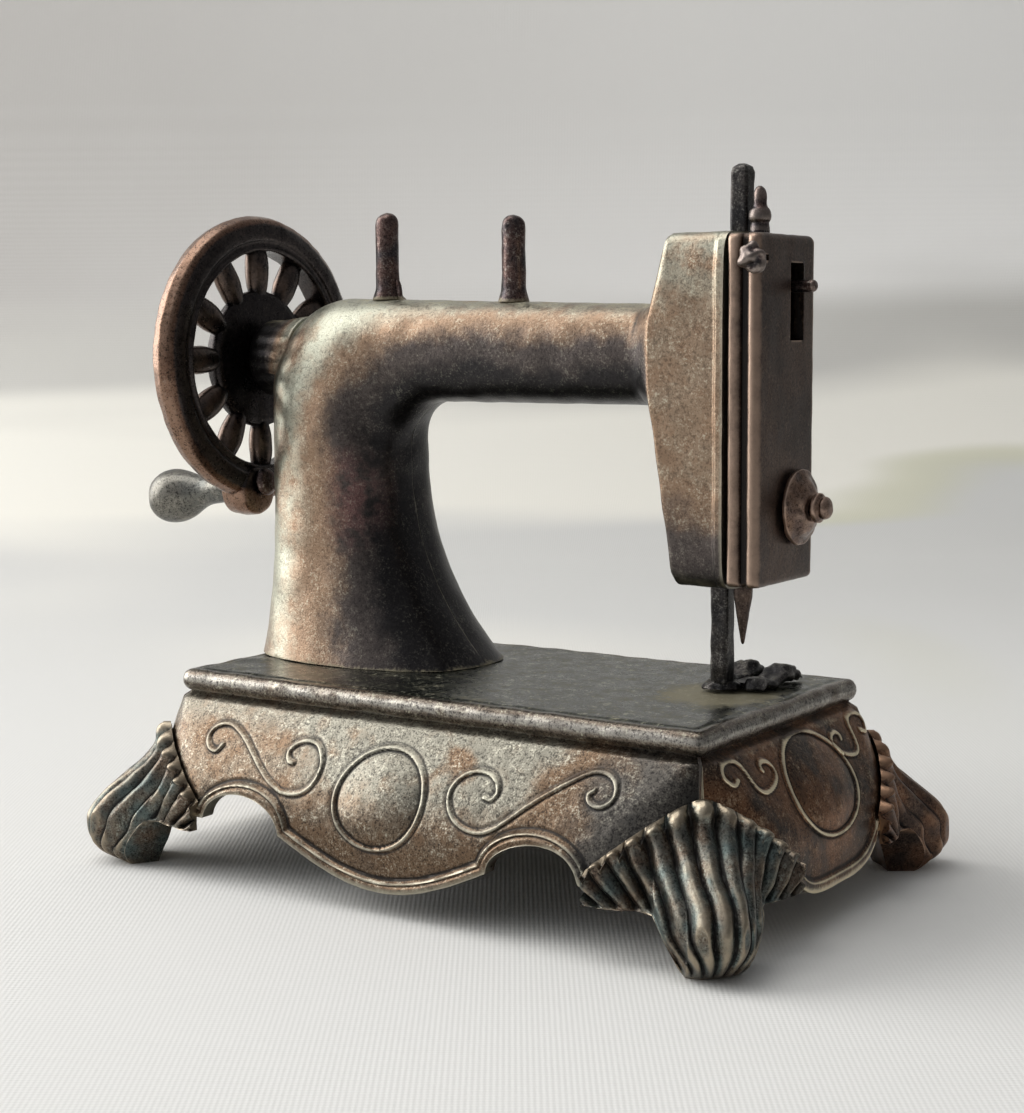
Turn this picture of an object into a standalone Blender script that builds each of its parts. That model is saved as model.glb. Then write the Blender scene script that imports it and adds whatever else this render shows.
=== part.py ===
"""Miniature hand-crank sewing machine on a four-footed base.

A die-cast desk model: a bed plate on four flared, scalloped skirt panels with a
fluted shell foot at each corner, a hollow two-part arm casting with an end cover,
a spoked handwheel with a crank grip, and a needle bar and a presser bar that slide.
X runs from the handwheel to the head, Z is up and the feet stand on Z = 0.
Sizes along X are measured from the middle of the bed until the last step.
"""
import math

import bmesh
import bpy
from mathutils import Matrix, Vector

MM = 0.001

# ---------------------------------------------------------------- driving sizes
SEAT_GAP = 0.3 * MM            # between pieces that are fastened together
RUN_GAP = 0.06 * MM            # radial play of a turning shaft
CUT_PAST = 1.0 * MM            # how far a cutter runs past the face it opens

BED_LENGTH = 60.4 * MM
BED_WIDTH = 31.8 * MM
BED_TOP = 19.2 * MM            # height of the working surface above the table
BED_THICKNESS = 1.8 * MM
BED_CORNER = 0.9 * MM
BED_RIM = 0.6 * MM             # rounding of the plate's rim

SKIRT_INSET = 0.15 * MM        # how far the skirt's top stands back from the bed's rim
SKIRT_WALL = 1.2 * MM
SKIRT_FLARE_END = 5.2 * MM     # how far the skirt spreads below the bed, at the ends
SKIRT_FLARE_SIDE = 6.1 * MM    # and along the sides
SKIRT_CORNER_TOP = 0.8 * MM
SKIRT_CORNER_LOW = 13.6 * MM
SKIRT_WAIST = 6.0 * MM         # height where the skirt's wall has turned upright
SKIRT_HEM = 6.2 * MM           # the corners' lower edge, behind the feet
SIDE_LOBE_LOW = 2.2 * MM       # lowest point of the side panel's middle lobe
SIDE_LOBE_HALF = 12.0 * MM
SIDE_CUSP = 5.8 * MM
SIDE_ARCH_HIGH = 8.9 * MM
SIDE_ARCH_HALF = 4.8 * MM
END_LOBE_LOW = 3.3 * MM
END_LOBE_HALF = 9.0 * MM
MEDALLION_SIDE_Z = 10.4 * MM
MEDALLION_END_Z = 12.0 * MM
MEDALLION_HALF_HEIGHT = 4.5 * MM
MEDALLION_SIDE_HALF = 5.2 * MM
MEDALLION_END_HALF = 6.2 * MM
MEDALLION_SIDE_SHIFT = 0.9 * MM  # the medallions don't sit quite in the middle of their panels
MEDALLION_END_SHIFT = 0.8 * MM
MEDALLION_RISE = 0.5 * MM

FOOT_FAN_HALF = 10.0 * MM      # half the shell's width, measured round the corner
FOOT_FAN_TOP = 13.9 * MM
FOOT_FAN_DROP = 6.2 * MM       # how far the shell's edge falls towards its ends
FOOT_FAN_LOW = 4.9 * MM        # lower edge of the shell
FOOT_SHELL = 0.9 * MM
FOOT_FLUTES = 11
FOOT_FLUTE_DEPTH = 0.45 * MM
FOOT_LEG_HALF = 4.1 * MM       # half the leg's width where it leaves the shell
FOOT_TOE_HALF = 2.0 * MM
FOOT_REACH = 6.2 * MM          # how far the leg sweeps out past the shell
FOOT_SWEEP_TOP = 12.3 * MM     # height where the sweep starts
FOOT_TOE_Z = 4.3 * MM          # height of the toe's furthest point
FOOT_TOE_ROUND = 3.6 * MM      # how far the toe draws back to its sole
FOOT_LEDGE = 0.9 * MM          # how far the leg's top reaches under the skirt
FOOT_HEEL = 0.6 * MM           # how far the back of the sole stands outside the skirt

BODY_OFFSET = 2.0 * MM         # the arm stands this far from the bed's middle line
WALL = 1.0 * MM                # wall of the hollow arm casting
COLUMN_SETBACK = 0.5 * MM      # the column's outer face stands this far inside the bed's end
COLUMN_WIDTH = 15.9 * MM
COLUMN_DEPTH = 13.8 * MM
COLUMN_FLARE = 9.2 * MM        # how far the column's inner side spreads at the bed
COLUMN_FLARE_BACK = 1.8 * MM   # and its outer side
COLUMN_FOOT_DEPTH = 17.6 * MM
THROAT_HEIGHT = 26.8 * MM      # from the bed to the arm's underside
ARM_HEIGHT = 10.5 * MM
ARM_TAPER = 1.1 * MM           # how much lower the arm's top is at the head
ARM_DEPTH = 9.4 * MM
ELBOW_OUTER = 9.0 * MM
ELBOW_INNER = 5.0 * MM
HEAD_SETBACK = 4.7 * MM        # from the bed's end to the open face of the head's casting
HEAD_LENGTH = 7.9 * MM
HEAD_DEPTH = 11.6 * MM
HEAD_DROP = 16.4 * MM          # how far the head hangs below the arm
HEAD_RISE = 5.3 * MM           # and stands above it
HEAD_SLOPE_HIGH = 1.6 * MM     # how far the head's back leans forward above the arm
HEAD_SLOPE_LOW = 2.5 * MM      # and below it
HEAD_FLANGE = 0.25 * MM        # raised rim where the head meets its cover
HEAD_FLANGE_WIDTH = 1.0 * MM
COVER_DEPTH = 3.1 * MM
COVER_BEAD = 0.65 * MM         # radius of the beads down the cover's sides
COVER_EDGE = 0.3 * MM
COVER_LIFT = 0.4 * MM          # the cover ends this far above the head's lower edge
SLOT_WIDTH = 2.7 * MM
SLOT_RISE = 1.7 * MM           # the slot starts this far above the shaft
SLOT_LENGTH = 7.0 * MM
SLOT_OFFSET = 1.9 * MM         # slot and tension knob lie this far from the seam

SHAFT_RISE = 4.3 * MM          # the shaft lies this far above the arm's underside
SHAFT_RADIUS = 0.9 * MM
BOSS_RADIUS = 4.1 * MM         # bearing boss between the column and the wheel
BOSS_REACH = 2.8 * MM
BOSS_DEPTH = 3.0 * MM          # how far the boss reaches into the column
BUSH_RADIUS = 1.8 * MM
FRONT_BUSH_SETBACK = 5.1 * MM  # from the head's back
FRONT_BUSH_LENGTH = 2.4 * MM
CRANK_SETBACK = 2.9 * MM       # the crank disc lies this far inside the head
CRANK_RADIUS = 2.75 * MM
CRANK_DISC_RADIUS = 3.4 * MM
CRANK_DISC_THICKNESS = 0.6 * MM
CRANK_PIN_RADIUS = 0.5 * MM
CRANK_PIN_LENGTH = 0.5 * MM
CRANK_ANGLE = math.radians(28)

WHEEL_RADIUS = 15.3 * MM
WHEEL_PLAY = 0.4 * MM          # between the bearing boss and the wheel
WHEEL_WIDTH = 3.2 * MM
WHEEL_RIM = 3.8 * MM           # the rim's depth, from tread to inner edge
WHEEL_EDGE = 0.35 * MM
WHEEL_HUB_RADIUS = 7.4 * MM
WHEEL_HUB_WIDTH = 2.2 * MM
SPOKES = 12
SPOKE_SIDES = 6
SPOKE_WIDTH = 2.5 * MM
SPOKE_DEPTH = 1.9 * MM
GRIP_ARM = 13.9 * MM           # from the shaft to the crank grip's rivet
GRIP_ANGLE = math.radians(-97)
GRIP_DROOP = math.radians(9)   # the riveted grip hangs a little below level
GRIP_BOSS_RADIUS = 2.4 * MM
GRIP_BOSS_RISE = 0.2 * MM
GRIP_LENGTH = 12.0 * MM
GRIP_RADIUS = 3.0 * MM
GRIP_NECK_RADIUS = 1.45 * MM
RIVET_RADIUS = 0.75 * MM
RIVET_HEAD_RADIUS = 1.5 * MM
RIVET_HEAD_HEIGHT = 0.9 * MM
RIVET_IN_GRIP = 6.0 * MM

NEEDLE_SETBACK = 0.9 * MM      # the needle stands this far behind the head's open face
POST_REACH = 0.55 * MM         # and the bar's post this far in front of it, in the cover
NEEDLE_RADIUS = 0.9 * MM       # of the needle's body and of the bar's post
NEEDLE_DROP = 5.7 * MM         # the needle's point hangs this far below the head
NEEDLE_TAPER = 5.4 * MM
NEEDLE_SHANK = 0.4 * MM
NEEDLE_SHANK_LENGTH = 2.5 * MM
NEEDLE_CLAMP_RISE = 3.4 * MM   # the needle bar ends this far above the head's lower edge
NEEDLE_JOG_RISE = 5.0 * MM     # and runs straight this far before it jogs
NEEDLE_JOG = 3.0 * MM
POST_HEIGHT = 4.1 * MM         # above the head
POST_BEAD_DROP = 2.7 * MM      # the bead lies this far below the post's top
POST_BEAD_RADIUS = 1.05 * MM
POST_FINIAL_RADIUS = 0.62 * MM
LEVER_RISE = 4.9 * MM          # take-up lever, above the slot's lower end
LEVER_THICKNESS = 1.15 * MM
LEVER_OVERHANG = 1.9 * MM
YOKE_THICKNESS = 0.6 * MM
YOKE_RIM = 0.6 * MM
PRESSER_SIZE = 1.75 * MM       # square section of the presser bar
PRESSER_SETBACK = 3.35 * MM    # behind the head's open face, below the jog
PRESSER_TOP_SETBACK = 1.55 * MM  # and above it
PRESSER_OFFSET = 0.6 * MM      # from the seam
PRESSER_JOG_RISE = 9.9 * MM    # the jog starts this far above the head's lower edge
PRESSER_JOG = 3.5 * MM
PRESSER_HEIGHT = 6.2 * MM      # above the head
SOLE_THICKNESS = 0.8 * MM      # the presser foot's plate
SOLE_LENGTH = 8.4 * MM
SOLE_WIDTH = 6.4 * MM
SOLE_HEEL = 1.9 * MM           # how far the plate reaches behind the presser bar
SOLE_SLOT = 1.1 * MM
TOE_RISE = 0.7 * MM
COLLAR_HEIGHT = 1.2 * MM
COLLAR_WALL = 0.4 * MM

PIN_RADIUS = 1.2 * MM
PIN_FOOT_RADIUS = 1.5 * MM
PIN_FOOT_HEIGHT = 0.9 * MM
PIN_SHANK = 0.7 * MM
COLUMN_PIN_REACH = 13.1 * MM   # the spool pins stand this far from the column's outer face
ARM_PIN_REACH = 28.8 * MM
COLUMN_PIN_HEIGHT = 8.7 * MM   # above the arm's highest point
ARM_PIN_HEIGHT = 7.9 * MM
TENSION_RISE = 7.2 * MM        # above the head's lower edge
TENSION_RADIUS = 3.5 * MM
TENSION_DOME = 1.5 * MM
TENSION_STUD = 0.7 * MM
KNOB_RADIUS = 1.4 * MM
KNOB_LENGTH = 1.5 * MM
COVER_RIVET_DROP = 2.5 * MM    # below the head's top
COVER_RIVET_RADIUS = 0.95 * MM
COVER_RIVET_SHANK = 0.4 * MM
SCREW_RADIUS = 0.9 * MM
SCREW_HEAD_RADIUS = 1.9 * MM
SCREW_HEAD_HEIGHT = 1.1 * MM
SCREW_LENGTH = 5.5 * MM
SCREW_INSET = 3.1 * MM         # screws stand this far inside the column's ends
SCREW_POST_RADIUS = 2.1 * MM
SCREW_WEB = 2.4 * MM           # thickness of the web between the screw posts

BRONZE = (0.16, 0.11, 0.075)
BROWN = (0.12, 0.075, 0.05)
GREEN_BLACK = (0.07, 0.075, 0.06)
COPPER = (0.33, 0.17, 0.10)
BLACK = (0.03, 0.03, 0.032)
STEEL = (0.32, 0.31, 0.30)

# ---------------------------------------------------------------- derived sizes
BED_UNDER = BED_TOP - BED_THICKNESS
SKIRT_TOP = BED_UNDER - SEAT_GAP
COLUMN_BASE = BED_TOP + SEAT_GAP
COLUMN_BACK = BED_LENGTH / 2 - COLUMN_SETBACK
ARM_BOTTOM = BED_TOP + THROAT_HEIGHT
ARM_TOP = ARM_BOTTOM + ARM_HEIGHT
HEAD_FRONT = BED_LENGTH / 2 - HEAD_SETBACK
HEAD_BACK = HEAD_FRONT - HEAD_LENGTH
HEAD_LOW = ARM_BOTTOM - HEAD_DROP
HEAD_HIGH = ARM_TOP + HEAD_RISE
COVER_BACK = HEAD_FRONT + SEAT_GAP
COVER_FRONT = COVER_BACK + COVER_DEPTH
COVER_LOW = HEAD_LOW + COVER_LIFT
COVER_HIGH = HEAD_HIGH - SEAT_GAP
COVER_RIVET_Z = HEAD_HIGH - COVER_RIVET_DROP
SHAFT_Z = ARM_BOTTOM + SHAFT_RISE
BOSS_END = COLUMN_BACK + BOSS_REACH
WHEEL_FACE = BOSS_END + WHEEL_PLAY
FRONT_BUSH_X = HEAD_BACK - FRONT_BUSH_SETBACK
CRANK_BACK = HEAD_BACK + CRANK_SETBACK
SLOT_Y = BODY_OFFSET + SLOT_OFFSET
SLOT_LOW = SHAFT_Z + SLOT_RISE
SLOT_HIGH = SLOT_LOW + SLOT_LENGTH
LEVER_Z = SLOT_LOW + LEVER_RISE
NEEDLE_X = HEAD_FRONT - NEEDLE_SETBACK
NEEDLE_TIP = HEAD_LOW - NEEDLE_DROP
NEEDLE_CLAMP_Z = HEAD_LOW + NEEDLE_CLAMP_RISE
NEEDLE_JOG_Z = NEEDLE_CLAMP_Z + NEEDLE_JOG_RISE
POST_X = HEAD_FRONT + POST_REACH
POST_TOP = HEAD_HIGH + POST_HEIGHT
POST_BEAD_Z = POST_TOP - POST_BEAD_DROP
PRESSER_X = HEAD_FRONT - PRESSER_SETBACK
PRESSER_TOP_X = HEAD_FRONT - PRESSER_TOP_SETBACK
PRESSER_Y = BODY_OFFSET + PRESSER_OFFSET
PRESSER_JOG_Z = HEAD_LOW + PRESSER_JOG_RISE
PRESSER_TOP = HEAD_HIGH + PRESSER_HEIGHT
COLUMN_PIN_X = -COLUMN_BACK + COLUMN_PIN_REACH
ARM_PIN_X = -COLUMN_BACK + ARM_PIN_REACH
COLUMN_PIN_TOP = ARM_TOP + COLUMN_PIN_HEIGHT
ARM_PIN_TOP = ARM_TOP + ARM_PIN_HEIGHT
TENSION_Z = HEAD_LOW + TENSION_RISE
SOLE_LOW = BED_TOP + SEAT_GAP
SOLE_HIGH = SOLE_LOW + SOLE_THICKNESS
YOKE_Z = SHAFT_Z + CRANK_RADIUS * math.sin(CRANK_ANGLE)
YOKE_BACK = CRANK_BACK + CRANK_DISC_THICKNESS + CRANK_PIN_LENGTH + SEAT_GAP
SCREW_PLACES = (-COLUMN_BACK + SCREW_INSET, -COLUMN_BACK + COLUMN_WIDTH)
GRIP_START = GRIP_BOSS_RISE + SEAT_GAP


# ---------------------------------------------------------------- scene helpers
def clear_scene():
    for obj in list(bpy.data.objects):
        bpy.data.objects.remove(obj, do_unlink=True)


def collection(name):
    group = bpy.data.collections.new(name)
    bpy.context.scene.collection.children.link(group)
    return group


clear_scene()
PARTS = collection("sewing_machine")
CUTTERS = collection("cutters")


def finish(name, colour, roughness, metallic=0.8):
    mat = bpy.data.materials.new(name)
    mat.use_nodes = True
    shader = mat.node_tree.nodes["Principled BSDF"]
    shader.inputs["Base Color"].default_value = (*colour, 1.0)
    shader.inputs["Roughness"].default_value = roughness
    shader.inputs["Metallic"].default_value = metallic
    return mat


def add_object(name, bm, smooth=True):
    mesh = bpy.data.meshes.new(name)
    bm.to_mesh(mesh)
    bm.free()
    if smooth:
        mesh.shade_smooth()
        mesh.set_sharp_from_angle(angle=math.radians(38))
    obj = bpy.data.objects.new(name, mesh)
    PARTS.objects.link(obj)
    return obj


def paint(obj, mat):
    obj.data.materials.clear()
    obj.data.materials.append(mat)
    return obj


def boolean(obj, operand, operation):
    """Join or cut with a helper solid, which moves to the cutters' collection."""
    PARTS.objects.unlink(operand)
    CUTTERS.objects.link(operand)
    operand.hide_render = True
    operand.display_type = "WIRE"
    modifier = obj.modifiers.new(operand.name, "BOOLEAN")
    modifier.operation = operation
    modifier.solver = "EXACT"
    modifier.object = operand
    return obj


def cut(obj, operand):
    return boolean(obj, operand, "DIFFERENCE")


def join(obj, operand):
    return boolean(obj, operand, "UNION")


def surface(bm, rows, closed=False):
    """Quads through rows of points; closed joins each row's last point to its first."""
    grid = [[bm.verts.new(point) for point in row] for row in rows]
    count = len(rows[0])
    last = count if closed else count - 1
    for upper, lower in zip(grid, grid[1:]):
        for i in range(last):
            j = (i + 1) % count
            bm.faces.new((upper[i], upper[j], lower[j], lower[i]))
    return grid


def thick_sheet(name, front_rows, back_rows):
    """A closed solid between two matching grids of points, joined round their borders."""
    bm = bmesh.new()
    front = surface(bm, front_rows)
    back = surface(bm, back_rows)
    borders = [(front[0], back[0]), (front[-1], back[-1])]
    for side in (0, -1):
        borders.append(([row[side] for row in front], [row[side] for row in back]))
    for one, other in borders:
        for i in range(len(one) - 1):
            bm.faces.new((one[i], one[i + 1], other[i + 1], other[i]))
    bmesh.ops.recalc_face_normals(bm, faces=bm.faces)
    return add_object(name, bm)


def loft(name, rings):
    """A closed solid through rings of equal length, capped at both ends."""
    bm = bmesh.new()
    grid = surface(bm, rings, closed=True)
    bm.faces.new(grid[0])
    bm.faces.new(grid[-1])
    bmesh.ops.recalc_face_normals(bm, faces=bm.faces)
    return add_object(name, bm)


def box(name, low, high):
    bm = bmesh.new()
    bmesh.ops.create_cube(bm, size=1.0)
    bmesh.ops.scale(bm, vec=Vector(high) - Vector(low), verts=bm.verts)
    bmesh.ops.translate(bm, vec=(Vector(high) + Vector(low)) / 2, verts=bm.verts)
    return add_object(name, bm, smooth=False)


def rod(name, start, end, radius, sides=20):
    """A round rod between two points."""
    start, end = Vector(start), Vector(end)
    bm = bmesh.new()
    bmesh.ops.create_cone(bm, cap_ends=True, segments=sides, radius1=radius,
                          radius2=radius, depth=(end - start).length)
    turn = (end - start).to_track_quat("Z", "Y").to_matrix().to_4x4()
    bmesh.ops.transform(bm, matrix=Matrix.Translation((start + end) / 2) @ turn, verts=bm.verts)
    return add_object(name, bm)


def rod_x(name, x_from, x_to, y, z, radius, sides=20):
    return rod(name, (x_from, y, z), (x_to, y, z), radius, sides)


def rod_z(name, x, y, z_from, z_to, radius, sides=20):
    return rod(name, (x, y, z_from), (x, y, z_to), radius, sides)


def turned(name, profile, steps=24, ring=False):
    """A turned solid on the Z axis; profile lists (radius, height) from top to bottom.

    A ring's profile goes down its outer side and up its bore, and closes on itself.
    """
    bm = bmesh.new()
    verts = [bm.verts.new((radius, 0.0, height)) for radius, height in profile]
    for upper, lower in zip(verts, verts[1:]):
        bm.edges.new((upper, lower))
    if ring:
        bm.edges.new((verts[-1], verts[0]))
    obj = add_object(name, bm, smooth=False)
    screw = obj.modifiers.new("turn", "SCREW")
    screw.axis = "Z"
    screw.steps = steps
    screw.render_steps = steps
    screw.use_merge_vertices = True
    screw.merge_threshold = 0.000002
    screw.use_smooth_shade = True
    return obj


def tube(name, outer, bore, top, low, steps=18):
    return turned(name, [(bore, top), (outer, top), (outer, low), (bore, low)], steps, ring=True)


def face_along_x(obj, x, y, z):
    """Lay a turned piece down so that its top points towards the head."""
    obj.rotation_euler = (0, math.pi / 2, 0)
    obj.location = (x, y, z)
    return obj


def smoothstep(low, high, value):
    t = min(max((value - low) / (high - low), 0.0), 1.0)
    return t * t * (3.0 - 2.0 * t)


def mix(a, b, t):
    return a + (b - a) * t


# ---------------------------------------------------------------- skirt surface
def skirt_spread(z):
    """0 under the bed, 1 where the bell-shaped wall has turned upright."""
    depth = (SKIRT_TOP - z) / (SKIRT_TOP - SKIRT_WAIST)
    return math.sin(min(max(depth, 0.0), 1.0) * math.pi / 2)


def skirt_section(z, inset=0.0):
    """Half length, half width and corner radius of the skirt at a height."""
    spread = skirt_spread(z)
    half_x = BED_LENGTH / 2 - SKIRT_INSET + SKIRT_FLARE_END * spread - inset
    half_y = BED_WIDTH / 2 - SKIRT_INSET + SKIRT_FLARE_SIDE * spread - inset
    radius = mix(SKIRT_CORNER_TOP, SKIRT_CORNER_LOW, spread) - inset
    return half_x, half_y, max(radius, SEAT_GAP / 2)


def corner_point(s, z, outward):
    """A point near the skirt's corner at +X and -Y.

    s is the distance round the wall from the corner's middle, positive on the end.
    """
    half_x, half_y, radius = skirt_section(z)
    turn = math.pi / 4 + s / radius
    past_side = min(turn, 0.0) * radius
    past_end = max(turn - math.pi / 2, 0.0) * radius
    turn = min(max(turn, 0.0), math.pi / 2)
    reach = radius + outward
    return Vector((half_x - radius + reach * math.sin(turn) + past_side,
                   -(half_y - radius + reach * math.cos(turn)) + past_end, z))


def side_hem(x):
    """Lower edge of a side panel: a round lobe, then a cusp and an arch on each hand."""
    x = abs(x)
    if x < SIDE_LOBE_HALF:
        return mix(SIDE_LOBE_LOW, SIDE_CUSP, (x / SIDE_LOBE_HALF) ** 1.4)
    off = (x - SIDE_LOBE_HALF - SIDE_ARCH_HALF) / SIDE_ARCH_HALF
    if off < 1.0:
        return mix(SIDE_CUSP, SIDE_ARCH_HIGH, math.sqrt(1.0 - off * off))
    return SKIRT_HEM


def end_hem(y):
    """Lower edge of an end panel: one broad lobe between the feet."""
    off = min(abs(y) / END_LOBE_HALF, 1.0)
    return mix(END_LOBE_LOW, SKIRT_HEM, off ** 4)


def medallion_rise(end, along, z):
    """Rise of the domed medallion in the middle of a panel."""
    shift, half, middle = ((MEDALLION_END_SHIFT, MEDALLION_END_HALF, MEDALLION_END_Z) if end else
                           (-MEDALLION_SIDE_SHIFT, MEDALLION_SIDE_HALF, MEDALLION_SIDE_Z))
    off = ((along - shift) / half) ** 2 + ((z - middle) / MEDALLION_HALF_HEIGHT) ** 2
    return MEDALLION_RISE * math.sqrt(max(0.0, 1.0 - off))


def panel_point(end, hand, share, arc, z, inset):
    """A point of a panel: share runs along its straight wall, arc round its corner."""
    half_x, half_y, radius = skirt_section(z, inset)
    near, far = (half_y, half_x) if end else (half_x, half_y)
    turn = arc * math.pi / 4
    along = share * (near - radius) + hand * (radius * math.sin(turn) - arc * SEAT_GAP * math.sqrt(0.5))
    out = far - radius + radius * math.cos(turn)
    if arc == 0 and not inset:
        out += medallion_rise(end, along, z)
    return Vector((out, along, z)) if end else Vector((along, -out, z))


def panel_rows(end, inset, arc_steps=3, rows=5):
    """Rows of a panel, from under the bed to its scalloped lower edge."""
    half_x, half_y, radius = skirt_section(SKIRT_WAIST)
    straight = (half_y if end else half_x) - radius
    run_steps = 14 if end else 26
    columns = [(-1, -1.0, i / arc_steps) for i in range(arc_steps, 0, -1)]
    columns += [(0, -1.0 + 2.0 * i / run_steps, 0) for i in range(run_steps + 1)]
    columns += [(1, 1.0, i / arc_steps) for i in range(1, arc_steps + 1)]
    lines = []
    for row in range(rows + 1):
        line = []
        for hand, share, arc in columns:
            hem = (end_hem if end else side_hem)(share * straight) if arc == 0 else SKIRT_HEM
            line.append(panel_point(end, hand, share, arc, mix(SKIRT_TOP, hem, row / rows), inset))
        lines.append(line)
    return lines


# ---------------------------------------------------------------- base
def bed_plate():
    bm = bmesh.new()
    bmesh.ops.create_cube(bm, size=1.0)
    bmesh.ops.scale(bm, vec=(BED_LENGTH, BED_WIDTH, BED_THICKNESS), verts=bm.verts)
    bmesh.ops.translate(bm, vec=(0, 0, BED_UNDER + BED_THICKNESS / 2), verts=bm.verts)
    upright = [e for e in bm.edges if abs(e.verts[0].co.z - e.verts[1].co.z) > BED_THICKNESS / 2]
    bmesh.ops.bevel(bm, geom=upright, offset=BED_CORNER, offset_type="OFFSET",
                    segments=5, profile=0.5, affect="EDGES")
    middle = BED_UNDER + BED_THICKNESS / 2
    rim = [e for e in bm.edges if min(e.verts[0].co.z, e.verts[1].co.z) > middle]
    bmesh.ops.bevel(bm, geom=rim, offset=BED_RIM, offset_type="OFFSET",
                    segments=3, profile=0.5, affect="EDGES")
    bed = add_object("bed_plate", bm)
    for index, x in enumerate(SCREW_PLACES):
        cut(bed, rod_z(f"bed_screw_hole_{index}", x, BODY_OFFSET, BED_UNDER - CUT_PAST,
                       BED_TOP + CUT_PAST, SCREW_RADIUS + SEAT_GAP, 14))
    paint(bed, finish("bed", GREEN_BLACK, 0.5))


def skirt():
    bronze = finish("skirt", BRONZE, 0.45)
    panels = (("rear_side_panel", False, 0.0), ("front_side_panel", False, math.pi),
              ("head_end_panel", True, 0.0), ("wheel_end_panel", True, math.pi))
    for name, end, turn in panels:
        panel = paint(thick_sheet(name, panel_rows(end, 0.0), panel_rows(end, SKIRT_WALL)), bronze)
        panel.rotation_euler.z = turn


def foot_edge(across):
    """Where a line of the foot ends: (distance round the corner, height)."""
    leg = FOOT_LEG_HALF / FOOT_FAN_HALF
    toe = 0.62 * leg
    if across > leg:
        return mix(FOOT_LEG_HALF, FOOT_FAN_HALF, (across - leg) / (1.0 - leg)), FOOT_FAN_LOW
    drop = smoothstep(leg, toe, across)
    width = mix(FOOT_LEG_HALF, FOOT_TOE_HALF, drop)
    return width * min(1.0, across / toe), mix(FOOT_FAN_LOW, 0.0, drop)


def foot_point(v, t, back):
    """A point of the fluted foot: v runs across it, t from the shell's edge to the toe."""
    across = abs(v)
    low_s, low_z = foot_edge(across)
    top_z = FOOT_FAN_TOP - FOOT_FAN_DROP * across ** 1.3
    s = mix(v * FOOT_FAN_HALF, math.copysign(low_s, v), t)
    z = mix(top_z, low_z, t)
    leg = FOOT_LEG_HALF / FOOT_FAN_HALF
    if back:
        under = smoothstep(SKIRT_HEM - SEAT_GAP, FOOT_FAN_LOW, z) * smoothstep(leg, 0.8 * leg, across)
        inside = mix(-FOOT_LEDGE, FOOT_HEEL, max(0.0, 1.0 - z / FOOT_FAN_LOW))
        return corner_point(s, z, mix(SEAT_GAP, inside, under))
    out = SEAT_GAP + FOOT_SHELL
    sweep = smoothstep(1.3 * leg, 0.1 * leg, across)
    out += FOOT_REACH * sweep * smoothstep(FOOT_SWEEP_TOP, FOOT_TOE_Z, z)
    out -= FOOT_TOE_ROUND * sweep * max(0.0, 1.0 - z / FOOT_TOE_Z) ** 3
    ridge = abs(math.sin(math.pi * FOOT_FLUTES * (v + 1.0) / 2))
    out += FOOT_FLUTE_DEPTH * (ridge - 0.6) * (1.0 - smoothstep(0.85, 1.0, t))
    return corner_point(s, z, out)


def foot_grid(back, rows=6):
    columns = 3 * FOOT_FLUTES
    return [[foot_point(2.0 * c / columns - 1.0, r / rows, back) for c in range(columns + 1)]
            for r in range(rows + 1)]


def foot(name, hand_x, hand_y, mat):
    sheet = thick_sheet(name, foot_grid(back=False), foot_grid(back=True))
    mirror = Matrix.Diagonal((hand_x, hand_y, 1.0, 1.0))
    sheet.data.transform(mirror)
    if hand_x * hand_y < 0:
        sheet.data.flip_normals()
    paint(sheet, mat)


def feet():
    dark = finish("foot", GREEN_BLACK, 0.42)
    foot("head_rear_foot", 1, 1, dark)
    foot("wheel_rear_foot", -1, 1, dark)
    foot("head_front_foot", 1, -1, dark)
    foot("wheel_front_foot", -1, -1, dark)


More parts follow.
